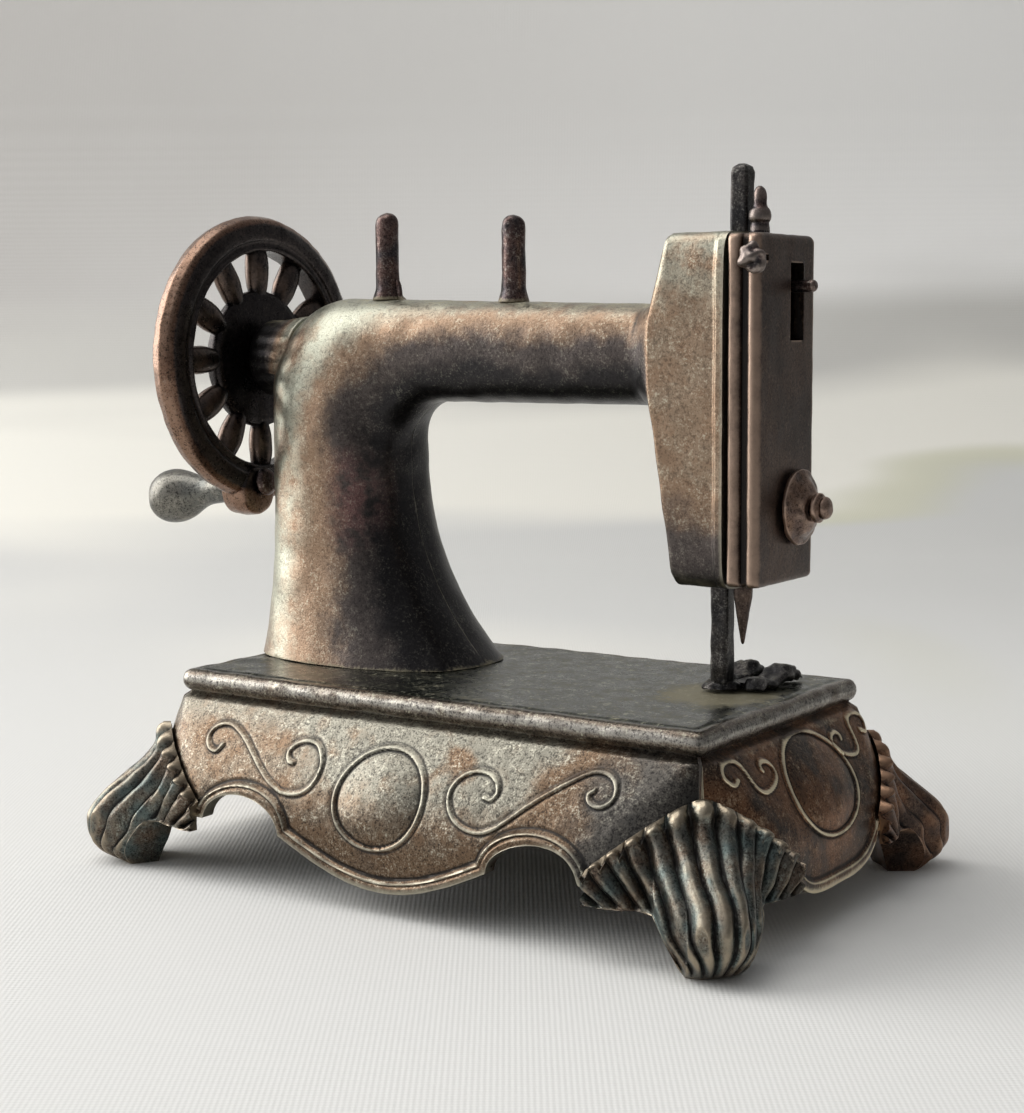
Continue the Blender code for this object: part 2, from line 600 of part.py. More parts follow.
# ---------------------------------------------------------------- arm casting
def body_stations(wall=0.0):
    """(upper point, lower point, half depth, squareness) along column, arm and head.

    The points are (x, z) in the seam plane. With a wall, they are those of the core.
    """
    past = CUT_PAST if wall else 0.0
    back = -COLUMN_BACK + wall
    waist = -COLUMN_BACK + COLUMN_WIDTH - wall
    high = ARM_TOP - wall
    head_high = high - ARM_TAPER
    low = ARM_BOTTOM + wall
    bend_out = ELBOW_OUTER - wall
    bend_in = ELBOW_INNER + wall
    spring = ARM_BOTTOM - ELBOW_INNER
    stations = []
    for share in (0.0, 0.07, 0.18, 0.34, 0.56, 0.8):
        z = mix(COLUMN_BASE, spring, share)
        if share == 0.0:
            z -= past
        flare = COLUMN_FLARE * (1.0 - share) ** 2.3
        depth = mix(COLUMN_DEPTH, COLUMN_FOOT_DEPTH, (1.0 - share) ** 2.5)
        flare_back = COLUMN_FLARE_BACK * (1.0 - share) ** 3
        stations.append(((back - flare_back, z), (waist + flare, z), depth / 2 - wall, 2.6))
    for step in range(7):
        turn = step / 6 * math.pi / 2
        upper = (back + bend_out * (1.0 - math.cos(turn)), high - bend_out * (1.0 - math.sin(turn)))
        lower = (waist + bend_in * (1.0 - math.cos(turn)), spring + bend_in * math.sin(turn))
        depth = mix(COLUMN_DEPTH, ARM_DEPTH, smoothstep(-0.2, 1.2, step / 6))
        stations.append((upper, lower, depth / 2 - wall, mix(2.6, 2.3, step / 6)))
    arm_start = -COLUMN_BACK + ELBOW_OUTER
    for share in (0.42, 0.7, 0.97):
        x = mix(arm_start, HEAD_BACK, share)
        stations.append(((x, mix(high, head_high, share)), (x, low), ARM_DEPTH / 2 - wall, 2.4))
    half = HEAD_DEPTH / 2 - wall
    head = HEAD_BACK + wall
    for lean, squareness in ((0.0, 7.0), (0.5, 9.0), (1.0, 10.0)):
        stations.append(((head + HEAD_SLOPE_HIGH * lean, mix(head_high, HEAD_HIGH - wall, lean)),
                         (head + HEAD_SLOPE_LOW * lean, mix(low, HEAD_LOW + wall, lean)), half, squareness))
    flange = HEAD_FRONT - HEAD_FLANGE_WIDTH
    tops = (HEAD_HIGH - wall, HEAD_LOW + wall)
    stations.append(((flange, tops[0]), (flange, tops[1]), half, 10.0))
    if not wall:
        edge = flange + HEAD_FLANGE
        stations.append(((edge, tops[0]), (edge, tops[1]), half + HEAD_FLANGE, 10.0))
        half += HEAD_FLANGE
    stations.append(((HEAD_FRONT + past, tops[0]), (HEAD_FRONT + past, tops[1]), half, 10.0))
    return stations


def arm_top_at(x):
    """Height of the arm's top, which falls towards the head."""
    start = -COLUMN_BACK + ELBOW_OUTER
    return ARM_TOP - ARM_TAPER * (x - start) / (HEAD_BACK - start)


def rounded_ring(station, steps=20):
    """A rounded section between a station's two points."""
    (upper_x, upper_z), (lower_x, lower_z), depth, squareness = station
    middle = Vector(((upper_x + lower_x) / 2, BODY_OFFSET, (upper_z + lower_z) / 2))
    arm = Vector((upper_x, BODY_OFFSET, upper_z)) - middle
    ring = []
    for step in range(steps):
        turn = 2.0 * math.pi * step / steps
        up = math.copysign(abs(math.cos(turn)) ** (2.0 / squareness), math.cos(turn))
        across = math.copysign(abs(math.sin(turn)) ** (2.0 / squareness), math.sin(turn))
        ring.append(middle + arm * up + Vector((0, depth * across, 0)))
    return ring


def body_core(name):
    """The core of the casting, less the posts and the web that take the column's screws."""
    core = loft(f"{name}_core", [rounded_ring(station) for station in body_stations(WALL)])
    low, high = COLUMN_BASE - 2 * CUT_PAST, COLUMN_BASE + SCREW_LENGTH
    cut(core, box(f"{name}_web", (-BED_LENGTH, BODY_OFFSET - SCREW_WEB / 2, low),
                  (SCREW_PLACES[1], BODY_OFFSET + SCREW_WEB / 2, high - SEAT_GAP)))
    for index, x in enumerate(SCREW_PLACES):
        cut(core, rod_z(f"{name}_post_{index}", x, BODY_OFFSET, low - CUT_PAST, high,
                        SCREW_POST_RADIUS, 14))
    return core


def body_shell(name, hand, mat):
    """Half of the hollow casting: its outer form less the core, split at the seam."""
    shell = loft(name, [rounded_ring(station) for station in body_stations()])
    boss_start = -COLUMN_BACK + BOSS_DEPTH
    join(shell, rod_x(f"{name}_boss", -BOSS_END, boss_start, BODY_OFFSET, SHAFT_Z, BOSS_RADIUS, 24))
    cut(shell, body_core(name))
    for hole in body_holes(name):
        cut(shell, hole)
    reach = BED_LENGTH
    edge = BODY_OFFSET + hand * SEAT_GAP / 2
    sides = sorted((edge, edge - hand * reach))
    cut(shell, box(f"{name}_split", (-reach, sides[0], 0), (reach, sides[1], 2 * reach)))
    paint(shell, mat)


def body_holes(name):
    """Holes through the seam, for the bush, spool pins, screws, presser and needle bars."""
    holes = [rod_x(f"{name}_bearing", -BOSS_END - CUT_PAST, -COLUMN_BACK + BOSS_DEPTH + CUT_PAST,
                   BODY_OFFSET, SHAFT_Z, BUSH_RADIUS + SEAT_GAP, 24)]
    for label, x in (("column_pin", COLUMN_PIN_X), ("arm_pin", ARM_PIN_X)):
        holes.append(rod_z(f"{name}_{label}", x, BODY_OFFSET, arm_top_at(x) - WALL - CUT_PAST,
                           arm_top_at(x) + CUT_PAST, PIN_SHANK + SEAT_GAP, 16))
    for index, x in enumerate(SCREW_PLACES):
        holes.append(rod_z(f"{name}_screw_{index}", x, BODY_OFFSET, COLUMN_BASE - CUT_PAST,
                           COLUMN_BASE + SCREW_LENGTH + CUT_PAST, SCREW_RADIUS + SEAT_GAP, 14))
    room = PRESSER_SIZE / 2 + SEAT_GAP
    for label, x, z in (("presser_low", PRESSER_X, HEAD_LOW), ("presser_top", PRESSER_TOP_X, HEAD_HIGH)):
        holes.append(box(f"{name}_{label}", (x - room, PRESSER_Y - room, z - WALL - CUT_PAST),
                         (x + room, PRESSER_Y + room, z + WALL + CUT_PAST)))
    for label, x, z in (("needle_low", NEEDLE_X, HEAD_LOW), ("needle_top", POST_X, HEAD_HIGH)):
        holes.append(rod_z(f"{name}_{label}", x, BODY_OFFSET, z - WALL - CUT_PAST,
                           z + WALL + CUT_PAST, NEEDLE_RADIUS + SEAT_GAP, 20))
    return holes


def cover_outline():
    """Half the cover's plan: a bead beside the head, a groove and a bead at the corner."""
    half = HEAD_DEPTH / 2
    outline = [Vector((COVER_BACK, 0)), Vector((COVER_BACK, half - COVER_BEAD))]
    for middle in (COVER_BACK + COVER_BEAD, COVER_FRONT - COVER_BEAD):
        for step in range(1 if middle < COVER_BACK + COVER_DEPTH / 2 else 0, 7):
            turn = math.pi * (1.0 - step / 6)
            outline.append(Vector((middle + COVER_BEAD * math.cos(turn),
                                   half - COVER_BEAD + COVER_BEAD * math.sin(turn))))
    return outline


def face_cover():
    """The end cover: beads down both sides, a slot for the take-up lever."""
    half = HEAD_DEPTH / 2
    outline = cover_outline()
    outline += [Vector((p.x, -p.y)) for p in reversed(outline[1:])]
    rings = []
    for z, inset in ((COVER_HIGH, COVER_EDGE), (COVER_HIGH - COVER_EDGE, 0.0),
                     (COVER_LOW + COVER_EDGE, 0.0), (COVER_LOW, COVER_EDGE)):
        shrink_x = 1.0 - inset / COVER_DEPTH
        shrink_y = 1.0 - inset / half
        rings.append([(COVER_BACK + (p.x - COVER_BACK) * shrink_x, BODY_OFFSET + p.y * shrink_y, z)
                      for p in outline])
    cover = loft("face_cover", rings)
    inside = half - 2 * COVER_BEAD - WALL / 2
    cut(cover, box("cover_hollow", (COVER_BACK - CUT_PAST, BODY_OFFSET - inside, COVER_LOW + WALL),
                   (COVER_FRONT - WALL, BODY_OFFSET + inside, COVER_HIGH - WALL)))
    cut(cover, box("cover_slot", (COVER_BACK, SLOT_Y - SLOT_WIDTH / 2, SLOT_LOW),
                   (COVER_FRONT + CUT_PAST, SLOT_Y + SLOT_WIDTH / 2, SLOT_HIGH)))
    cut(cover, rod_z("cover_post_hole", POST_X, BODY_OFFSET, COVER_HIGH - WALL - CUT_PAST,
                     COVER_HIGH + CUT_PAST, NEEDLE_RADIUS + SEAT_GAP, 20))
    cut(cover, rod_x("cover_stud_hole", COVER_FRONT - WALL - CUT_PAST, COVER_FRONT + CUT_PAST,
                     SLOT_Y, TENSION_Z, TENSION_STUD + SEAT_GAP, 16))
    cut(cover, rod("cover_rivet_hole", (COVER_FRONT - COVER_BEAD, BODY_OFFSET - half - CUT_PAST, COVER_RIVET_Z),
                   (COVER_FRONT - COVER_BEAD, BODY_OFFSET - half + 2 * WALL, COVER_RIVET_Z),
                   COVER_RIVET_SHANK + SEAT_GAP, 12))
    paint(cover, finish("cover", BROWN, 0.4))


def cover_rivet():
    """The peened rivet in the cover's near side."""
    r, shank = COVER_RIVET_RADIUS, COVER_RIVET_SHANK
    profile = [(0, 0.75 * r), (0.55 * r, 0.6 * r), (r, 0.1 * r), (r, -0.1 * r), (shank, -0.1 * r),
               (shank, -1.4 * WALL), (0, -1.4 * WALL)]
    rivet = turned("cover_rivet", profile, 14)
    rivet.rotation_euler = (math.pi / 2, 0, 0)
    rivet.location = (COVER_FRONT - COVER_BEAD, BODY_OFFSET - HEAD_DEPTH / 2 - SEAT_GAP - 0.1 * r,
                      COVER_RIVET_Z)
    paint(rivet, finish("cover_rivet", BLACK, 0.5))


def tension():
    """The domed tension disc and the knob whose stud holds it to the cover."""
    r, dome = TENSION_RADIUS, TENSION_DOME
    bore = TENSION_STUD + SEAT_GAP
    disc = turned("tension_disc", [(bore, dome), (0.42 * r, dome), (0.62 * r, 0.8 * dome),
                                   (0.8 * r, 0.45 * dome), (0.98 * r, 0.35 * dome), (r, 0.25 * dome),
                                   (r, 0), (bore, 0)], 22, ring=True)
    face_along_x(disc, COVER_FRONT + SEAT_GAP, SLOT_Y, TENSION_Z)
    paint(disc, finish("tension_disc", BROWN, 0.35))
    r, length = KNOB_RADIUS, KNOB_LENGTH
    shoulder = COVER_FRONT + dome + 2 * SEAT_GAP
    stud_end = COVER_FRONT - WALL - SEAT_GAP - shoulder
    knob = turned("tension_knob", [(0, length), (0.4 * r, 0.95 * length), (0.7 * r, 0.8 * length),
                                   (0.8 * r, 0.6 * length), (0.7 * r, 0.45 * length), (r, 0.3 * length),
                                   (r, 0), (TENSION_STUD, 0), (TENSION_STUD, stud_end), (0, stud_end)], 14)
    face_along_x(knob, shoulder, SLOT_Y, TENSION_Z)
    paint(knob, finish("tension_knob", COPPER, 0.35))


def spool_pin(name, x, top, mat):
    """A round pin with a domed top, a spread foot on the arm and a shank in the seam."""
    seat = arm_top_at(x) + SEAT_GAP
    r = PIN_RADIUS
    shank_end = arm_top_at(x) - WALL - SEAT_GAP
    profile = [(0, top), (0.5 * r, top - 0.13 * r), (0.87 * r, top - 0.5 * r), (r, top - r),
               (r, seat + PIN_FOOT_HEIGHT), (PIN_FOOT_RADIUS, seat), (PIN_SHANK, seat),
               (PIN_SHANK, shank_end), (0, shank_end)]
    pin = turned(name, profile, 14)
    pin.location = (x, BODY_OFFSET, 0)
    paint(pin, mat)


def column_screw(name, x, mat):
    """A screw from beneath, through the bed into the column's foot."""
    low = BED_UNDER - SEAT_GAP
    r, head, tall = SCREW_RADIUS, SCREW_HEAD_RADIUS, SCREW_HEAD_HEIGHT
    top = COLUMN_BASE + SCREW_LENGTH - SEAT_GAP
    profile = [(0, top), (0.6 * r, top), (r, top - 0.4 * r), (r, low), (head, low),
               (head, low - 0.5 * tall), (0.6 * head, low - tall), (0, low - tall)]
    screw = turned(name, profile, 12)
    screw.location = (x, BODY_OFFSET, 0)
    paint(screw, mat)


def body():
    bronze = finish("body", BRONZE, 0.42)
    body_shell("body_shell_rear", -1, bronze)
    body_shell("body_shell_front", 1, bronze)
    face_cover()
    cover_rivet()
    tension()
    dark = finish("spool_pin", BLACK, 0.4)
    spool_pin("spool_pin_column", COLUMN_PIN_X, COLUMN_PIN_TOP, dark)
    spool_pin("spool_pin_arm", ARM_PIN_X, ARM_PIN_TOP, dark)
    steel = finish("screw", STEEL, 0.4)
    column_screw("column_screw_outer", SCREW_PLACES[0], steel)
    column_screw("column_screw_inner", SCREW_PLACES[1], steel)


# ---------------------------------------------------------------- drive
def wheel_spokes():
    """Barrel-shaped spokes round the Z axis, from inside the hub to inside the rim."""
    bm = bmesh.new()
    start = WHEEL_HUB_RADIUS - 2 * WHEEL_EDGE
    end = WHEEL_RADIUS - WHEEL_RIM + 2 * WHEEL_EDGE
    for index in range(SPOKES):
        turn = Matrix.Rotation(2 * math.pi * index / SPOKES, 4, "Z")
        rings = []
        for share in (0.0, 0.3, 0.7, 1.0):
            swell = 0.7 + 0.3 * math.sin(math.pi * share)
            ring = []
            for step in range(SPOKE_SIDES):
                angle = 2 * math.pi * (step + 0.5) / SPOKE_SIDES
                ring.append(turn @ Vector((mix(start, end, share),
                                           SPOKE_WIDTH / 2 * swell * math.cos(angle),
                                           -WHEEL_WIDTH / 2 + SPOKE_DEPTH / 2 * swell * math.sin(angle))))
            rings.append(ring)
        grid = surface(bm, rings, closed=True)
        bm.faces.new(grid[0])
        bm.faces.new(grid[-1])
    bmesh.ops.recalc_face_normals(bm, faces=bm.faces)
    return add_object("wheel_spokes", bm)


def handwheel(axis, mat):
    """The rim, spokes, hub and rivet boss, one casting, with its axis on the shaft."""
    outer, width, edge = WHEEL_RADIUS, WHEEL_WIDTH, WHEEL_EDGE
    inner = outer - WHEEL_RIM
    rim = [(inner + edge, 0), (outer - 3 * edge, 0), (outer - edge, -edge), (outer, -0.55 * width),
           (outer - edge, -0.85 * width), (outer - 3 * edge, -width), (inner + edge, -width),
           (inner, -width + edge), (inner, -edge)]
    wheel = turned("handwheel", rim, 40, ring=True)
    face_along_x(wheel, -WHEEL_FACE, BODY_OFFSET, SHAFT_Z)
    high = -(width - WHEEL_HUB_WIDTH) / 2
    low = high - WHEEL_HUB_WIDTH
    r = WHEEL_HUB_RADIUS
    bore = SHAFT_RADIUS + SEAT_GAP
    hub = turned("wheel_hub", [(bore, high), (r - edge, high), (r, high - edge), (r, low + edge),
                               (r - edge, low), (bore, low)], 24, ring=True)
    boss = rod_z("wheel_boss", -GRIP_ARM * math.sin(GRIP_ANGLE), GRIP_ARM * math.cos(GRIP_ANGLE),
                 -width - GRIP_BOSS_RISE, GRIP_BOSS_RISE, GRIP_BOSS_RADIUS, 20)
    for operand in (wheel_spokes(), hub, boss):
        operand.parent = wheel
        join(wheel, operand)
    hole = rod_z("wheel_rivet_hole", 0, 0, -3 * width, 2 * width, RIVET_RADIUS + SEAT_GAP, 16)
    hole.parent = axis
    cut(wheel, hole)
    paint(wheel, mat)


def grip_axis():
    """An empty on the grip's rivet, where it leaves the wheel; its Z axis runs along the grip."""
    empty = bpy.data.objects.new("grip_axis", None)
    PARTS.objects.link(empty)
    empty.location = (-WHEEL_FACE - WHEEL_WIDTH, BODY_OFFSET + GRIP_ARM * math.cos(GRIP_ANGLE),
                      SHAFT_Z + GRIP_ARM * math.sin(GRIP_ANGLE))
    empty.rotation_euler = (0, -math.pi / 2 - GRIP_DROOP, 0)
    return empty


def crank_grip(axis):
    """A pear-shaped grip with a blind bore for its rivet."""
    r, neck = GRIP_RADIUS, GRIP_NECK_RADIUS
    bore = RIVET_RADIUS + RUN_GAP
    bore_end = GRIP_START + RIVET_IN_GRIP + SEAT_GAP
    pear = [(0.0, 1.0), (0.42, 0.985), (0.75, 0.93), (0.95, 0.84), (1.0, 0.72), (0.92, 0.56), (0.7, 0.36)]
    profile = [(r * wide, GRIP_START + GRIP_LENGTH * far) for wide, far in pear]
    profile += [(neck, GRIP_START + 0.18 * GRIP_LENGTH), (neck, GRIP_START), (bore, GRIP_START),
                (bore, bore_end), (0, bore_end)]
    grip = turned("crank_grip", profile, 18)
    grip.parent = axis
    paint(grip, finish("grip", BLACK, 0.4))


def handle_rivet(axis):
    r, head, tall = RIVET_RADIUS, RIVET_HEAD_RADIUS, RIVET_HEAD_HEIGHT
    top = GRIP_START + RIVET_IN_GRIP
    seat = -(WHEEL_WIDTH + GRIP_BOSS_RISE + SEAT_GAP)
    profile = [(0, top), (r, top), (r, seat), (head, seat), (head, seat - 0.35 * tall),
               (0.72 * head, seat - 0.8 * tall), (0, seat - tall)]
    rivet = turned("handle_rivet", profile, 12)
    rivet.parent = axis
    paint(rivet, finish("rivet", COPPER, 0.4))


def bush(name, x, length, radius, mat):
    ring = tube(name, radius, SHAFT_RADIUS + RUN_GAP, length / 2, -length / 2)
    face_along_x(ring, x, BODY_OFFSET, SHAFT_Z)
    paint(ring, mat)


def crank_disc(mat):
    """The disc on the shaft's end, with the pin that faces the yoke."""
    front = CRANK_BACK + CRANK_DISC_THICKNESS
    disc = tube("crank_disc", CRANK_DISC_RADIUS, SHAFT_RADIUS + SEAT_GAP, 0, -CRANK_DISC_THICKNESS, 22)
    face_along_x(disc, front, BODY_OFFSET, SHAFT_Z)
    join(disc, rod_x("crank_pin", front - CRANK_DISC_THICKNESS / 2, front + CRANK_PIN_LENGTH,
                     BODY_OFFSET + CRANK_RADIUS * math.cos(CRANK_ANGLE), YOKE_Z, CRANK_PIN_RADIUS, 12))
    paint(disc, mat)


def drive():
    axis = grip_axis()
    handwheel(axis, finish("wheel", BROWN, 0.35))
    crank_grip(axis)
    handle_rivet(axis)
    steel = finish("shaft", STEEL, 0.35)
    shaft = rod_x("main_shaft", -WHEEL_FACE - WHEEL_WIDTH, CRANK_BACK + CRANK_DISC_THICKNESS,
                  BODY_OFFSET, SHAFT_Z, SHAFT_RADIUS, 24)
    paint(shaft, steel)
    crank_disc(steel)
    brass = finish("bush", (0.45, 0.32, 0.12), 0.35)
    rear_length = BOSS_END - COLUMN_BACK + BOSS_DEPTH
    bush("rear_bush", -BOSS_END + rear_length / 2, rear_length, BUSH_RADIUS, brass)
    bush("front_bush", FRONT_BUSH_X, FRONT_BUSH_LENGTH, SHAFT_Z - ARM_BOTTOM - WALL - SEAT_GAP, brass)


# ---------------------------------------------------------------- needle and presser
def needle_bar():
    """The needle bar with its yoke and its take-up lever, one casting."""
    r = NEEDLE_RADIUS
    jog_high = NEEDLE_JOG_Z + NEEDLE_JOG
    heights = ((NEEDLE_CLAMP_Z, NEEDLE_X), (NEEDLE_JOG_Z, NEEDLE_X), (jog_high, POST_X))
    bead, finial = POST_BEAD_RADIUS, POST_FINIAL_RADIUS
    rounds = ((POST_BEAD_Z - bead, r), (POST_BEAD_Z - 0.4 * bead, 0.85 * r), (POST_BEAD_Z, bead),
              (POST_BEAD_Z + 0.6 * bead, 0.8 * bead), (POST_BEAD_Z + 0.9 * bead, finial),
              (POST_TOP - finial, finial), (POST_TOP - 0.3 * finial, 0.75 * finial), (POST_TOP, 0.3 * finial))
    sections = [(x, z, r) for z, x in heights] + [(POST_X, z, wide) for z, wide in rounds]
    rings = []
    for x, z, wide in sections:
        rings.append([(x + wide * math.cos(math.pi * step / 8), BODY_OFFSET + wide * math.sin(math.pi * step / 8), z)
                      for step in range(16)])
    bar = loft("needle_bar", rings)
    half_slot = CRANK_RADIUS + CRANK_PIN_RADIUS + SEAT_GAP
    half_yoke = half_slot + YOKE_RIM
    slot_room = CRANK_PIN_RADIUS + SEAT_GAP / 2
    yoke = box("yoke_plate", (YOKE_BACK, BODY_OFFSET - half_yoke, YOKE_Z - slot_room - YOKE_RIM),
               (YOKE_BACK + YOKE_THICKNESS, BODY_OFFSET + half_yoke, YOKE_Z + slot_room + YOKE_RIM))
    join(bar, yoke)
    bridge_side = PRESSER_Y - PRESSER_SIZE / 2 - SEAT_GAP
    join(bar, box("yoke_bridge", (YOKE_BACK + YOKE_THICKNESS / 2, BODY_OFFSET - r, YOKE_Z + slot_room),
                  (POST_X, bridge_side, YOKE_Z + slot_room + YOKE_RIM)))
    cut(bar, box("yoke_slot", (YOKE_BACK - CUT_PAST, BODY_OFFSET - half_slot, YOKE_Z - slot_room),
                 (YOKE_BACK + YOKE_THICKNESS + CUT_PAST, BODY_OFFSET + half_slot, YOKE_Z + slot_room)))
    half = LEVER_THICKNESS / 2
    join(bar, box("lever_root", (POST_X - half, BODY_OFFSET, LEVER_Z - half),
                  (POST_X + half, SLOT_Y + half, LEVER_Z + half)))
    join(bar, rod_x("lever", POST_X, COVER_FRONT + LEVER_OVERHANG, SLOT_Y, LEVER_Z, half, 12))
    socket = NEEDLE_SHANK + SEAT_GAP / 2
    cut(bar, rod_z("needle_socket", NEEDLE_X, BODY_OFFSET, NEEDLE_CLAMP_Z - CUT_PAST,
                   NEEDLE_CLAMP_Z + NEEDLE_SHANK_LENGTH + SEAT_GAP, socket, 12))
    paint(bar, finish("needle_bar", BROWN, 0.4))


def needle():
    r, shank = NEEDLE_RADIUS, NEEDLE_SHANK
    shoulder = NEEDLE_CLAMP_Z - SEAT_GAP
    point = NEEDLE_TIP + NEEDLE_TAPER
    profile = [(0, NEEDLE_CLAMP_Z + NEEDLE_SHANK_LENGTH), (shank, NEEDLE_CLAMP_Z + NEEDLE_SHANK_LENGTH),
               (shank, shoulder), (r, shoulder), (r, point), (0.84 * r, point - 0.35 * NEEDLE_TAPER),
               (0.12 * r, NEEDLE_TIP), (0, NEEDLE_TIP)]
    pin = turned("needle", profile, 12)
    pin.location = (NEEDLE_X, BODY_OFFSET, 0)
    paint(pin, finish("needle", COPPER, 0.35))


def presser_bar(mat):
    half = PRESSER_SIZE / 2
    heights = ((SOLE_HIGH + SEAT_GAP, PRESSER_X, half), (PRESSER_JOG_Z, PRESSER_X, half),
               (PRESSER_JOG_Z + PRESSER_JOG, PRESSER_TOP_X, half), (PRESSER_TOP - half, PRESSER_TOP_X, half),
               (PRESSER_TOP, PRESSER_TOP_X, 0.5 * half))
    corners = ((-1, -1), (1, -1), (1, 1), (-1, 1))
    rings = [[(x + wide * i, PRESSER_Y + wide * j, z) for i, j in corners] for z, x, wide in heights]
    paint(loft("presser_bar", rings), mat)


def presser_foot(mat):
    """A plate round the presser bar's foot, with two upturned toes and a collar."""
    left = PRESSER_X - SOLE_HEEL
    right = left + SOLE_WIDTH
    back = PRESSER_Y - PRESSER_SIZE / 2 - SEAT_GAP - COLLAR_WALL
    tip = back + SOLE_LENGTH + PRESSER_SIZE
    plate = box("presser_foot", (left, back, SOLE_LOW), (right, back + SOLE_LENGTH / 2, SOLE_HIGH))
    middle = (left + right) / 2
    toes = (("left", left, middle - SOLE_SLOT / 2), ("right", middle + SOLE_SLOT / 2, right))
    for label, x_from, x_to in toes:
        rings = []
        for share, rise in ((0.3, 0.0), (0.7, 0.0), (0.85, 0.3), (0.95, 0.75), (1.0, 1.0)):
            y = mix(back, tip, share)
            low = SOLE_LOW + rise * TOE_RISE
            rings.append([(x_from, y, low), (x_to, y, low), (x_to, y, low + SOLE_THICKNESS),
                          (x_from, y, low + SOLE_THICKNESS)])
        join(plate, loft(f"presser_toe_{label}", rings))
    room = PRESSER_SIZE / 2 + SEAT_GAP
    outer = room + COLLAR_WALL
    join(plate, box("presser_collar", (PRESSER_X - outer, PRESSER_Y - outer, SOLE_LOW + SOLE_THICKNESS / 2),
                    (PRESSER_X + outer, PRESSER_Y + outer, SOLE_HIGH + COLLAR_HEIGHT)))
    cut(plate, box("presser_socket", (PRESSER_X - room, PRESSER_Y - room, SOLE_HIGH),
                   (PRESSER_X + room, PRESSER_Y + room, SOLE_HIGH + COLLAR_HEIGHT + CUT_PAST)))
    cut(plate, rod_z("needle_hole", NEEDLE_X, BODY_OFFSET, SOLE_LOW - CUT_PAST,
                     SOLE_HIGH + CUT_PAST, NEEDLE_SHANK + SEAT_GAP, 12))
    paint(plate, mat)


def needle_and_presser():
    needle_bar()
    needle()
    black = finish("presser", BLACK, 0.45)
    presser_bar(black)
    presser_foot(black)


# ---------------------------------------------------------------- assembly
def centre_on_length():
    """Hang everything on one empty that brings the overall length's middle to X = 0."""
    grip_end = -WHEEL_FACE - WHEEL_WIDTH - (GRIP_START + GRIP_LENGTH) * math.cos(GRIP_DROOP)
    toe_end = max(point.x for row in foot_grid(back=False) for point in row)
    root = bpy.data.objects.new("machine", None)
    PARTS.objects.link(root)
    root.location.x = -(grip_end + toe_end) / 2
    for obj in list(PARTS.objects) + list(CUTTERS.objects):
        if obj.parent is None and obj is not root:
            obj.parent = root


bed_plate()
skirt()
feet()
body()
drive()
needle_and_presser()
centre_on_length()
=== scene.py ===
# %% [markdown]
# # A miniature hand-crank sewing machine
# The real thing is a small die casting, antiqued in bronze and copper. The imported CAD
# model is loaded first and stays fixed; every cell below dresses one of its pieces with
# a finer shape and a finish built from shader nodes.

# %% Load the frame
import math

import bmesh
import bpy
import numpy as np
from mathutils import Matrix, Vector, noise


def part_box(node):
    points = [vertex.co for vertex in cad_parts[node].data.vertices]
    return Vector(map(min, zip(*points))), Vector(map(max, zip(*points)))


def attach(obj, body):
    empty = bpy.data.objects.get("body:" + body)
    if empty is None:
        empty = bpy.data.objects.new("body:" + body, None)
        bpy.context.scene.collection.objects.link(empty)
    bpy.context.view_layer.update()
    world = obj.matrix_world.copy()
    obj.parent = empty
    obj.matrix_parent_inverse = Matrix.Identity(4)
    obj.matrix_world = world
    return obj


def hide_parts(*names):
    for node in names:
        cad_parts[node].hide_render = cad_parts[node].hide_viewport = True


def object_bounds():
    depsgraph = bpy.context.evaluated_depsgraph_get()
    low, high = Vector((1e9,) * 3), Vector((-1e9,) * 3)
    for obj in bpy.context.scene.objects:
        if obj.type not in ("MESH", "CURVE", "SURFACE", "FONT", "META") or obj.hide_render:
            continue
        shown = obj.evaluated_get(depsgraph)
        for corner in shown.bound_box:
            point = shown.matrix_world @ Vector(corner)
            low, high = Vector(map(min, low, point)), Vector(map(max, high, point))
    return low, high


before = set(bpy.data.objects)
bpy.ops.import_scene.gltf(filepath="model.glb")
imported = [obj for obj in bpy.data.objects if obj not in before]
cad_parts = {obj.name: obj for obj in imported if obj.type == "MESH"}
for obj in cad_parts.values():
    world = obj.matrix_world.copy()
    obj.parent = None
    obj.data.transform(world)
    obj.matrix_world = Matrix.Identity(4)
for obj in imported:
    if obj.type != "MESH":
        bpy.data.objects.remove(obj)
cad_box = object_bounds()
MM = 0.001
MIDDLE = sum(corner.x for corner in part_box("bed_plate")) / 2

# %% [markdown]
# ## From numbers to meshes
# Sizes below are in millimetres, with X measured from the middle of the bed. Points
# are worked out as whole arrays, because that is short and quick, and a mesh is made
# from them in one go. Most castings are a grid of points: across, and down.


# %% Grids of points
WELD = 0.002
SHARP = 40.0


def mix(a, b, t):
    return a + (b - a) * t


def smoothstep(low, high, value):
    """0 up to low, 1 from high on, and a soft step between them."""
    t = np.clip((np.asarray(value, float) - low) / (high - low), 0.0, 1.0)
    return t * t * (3.0 - 2.0 * t)


def grid_faces(rows, columns, closed=False, start=0):
    """Quads over a grid of points; closed joins each row's last point to its first."""
    index = start + np.arange(rows * columns).reshape(rows, columns)
    if closed:
        index = np.hstack([index, index[:, :1]])
    quads = np.stack([index[:-1, :-1], index[:-1, 1:], index[1:, 1:], index[1:, :-1]], -1)
    return quads.reshape(-1, 4).tolist()


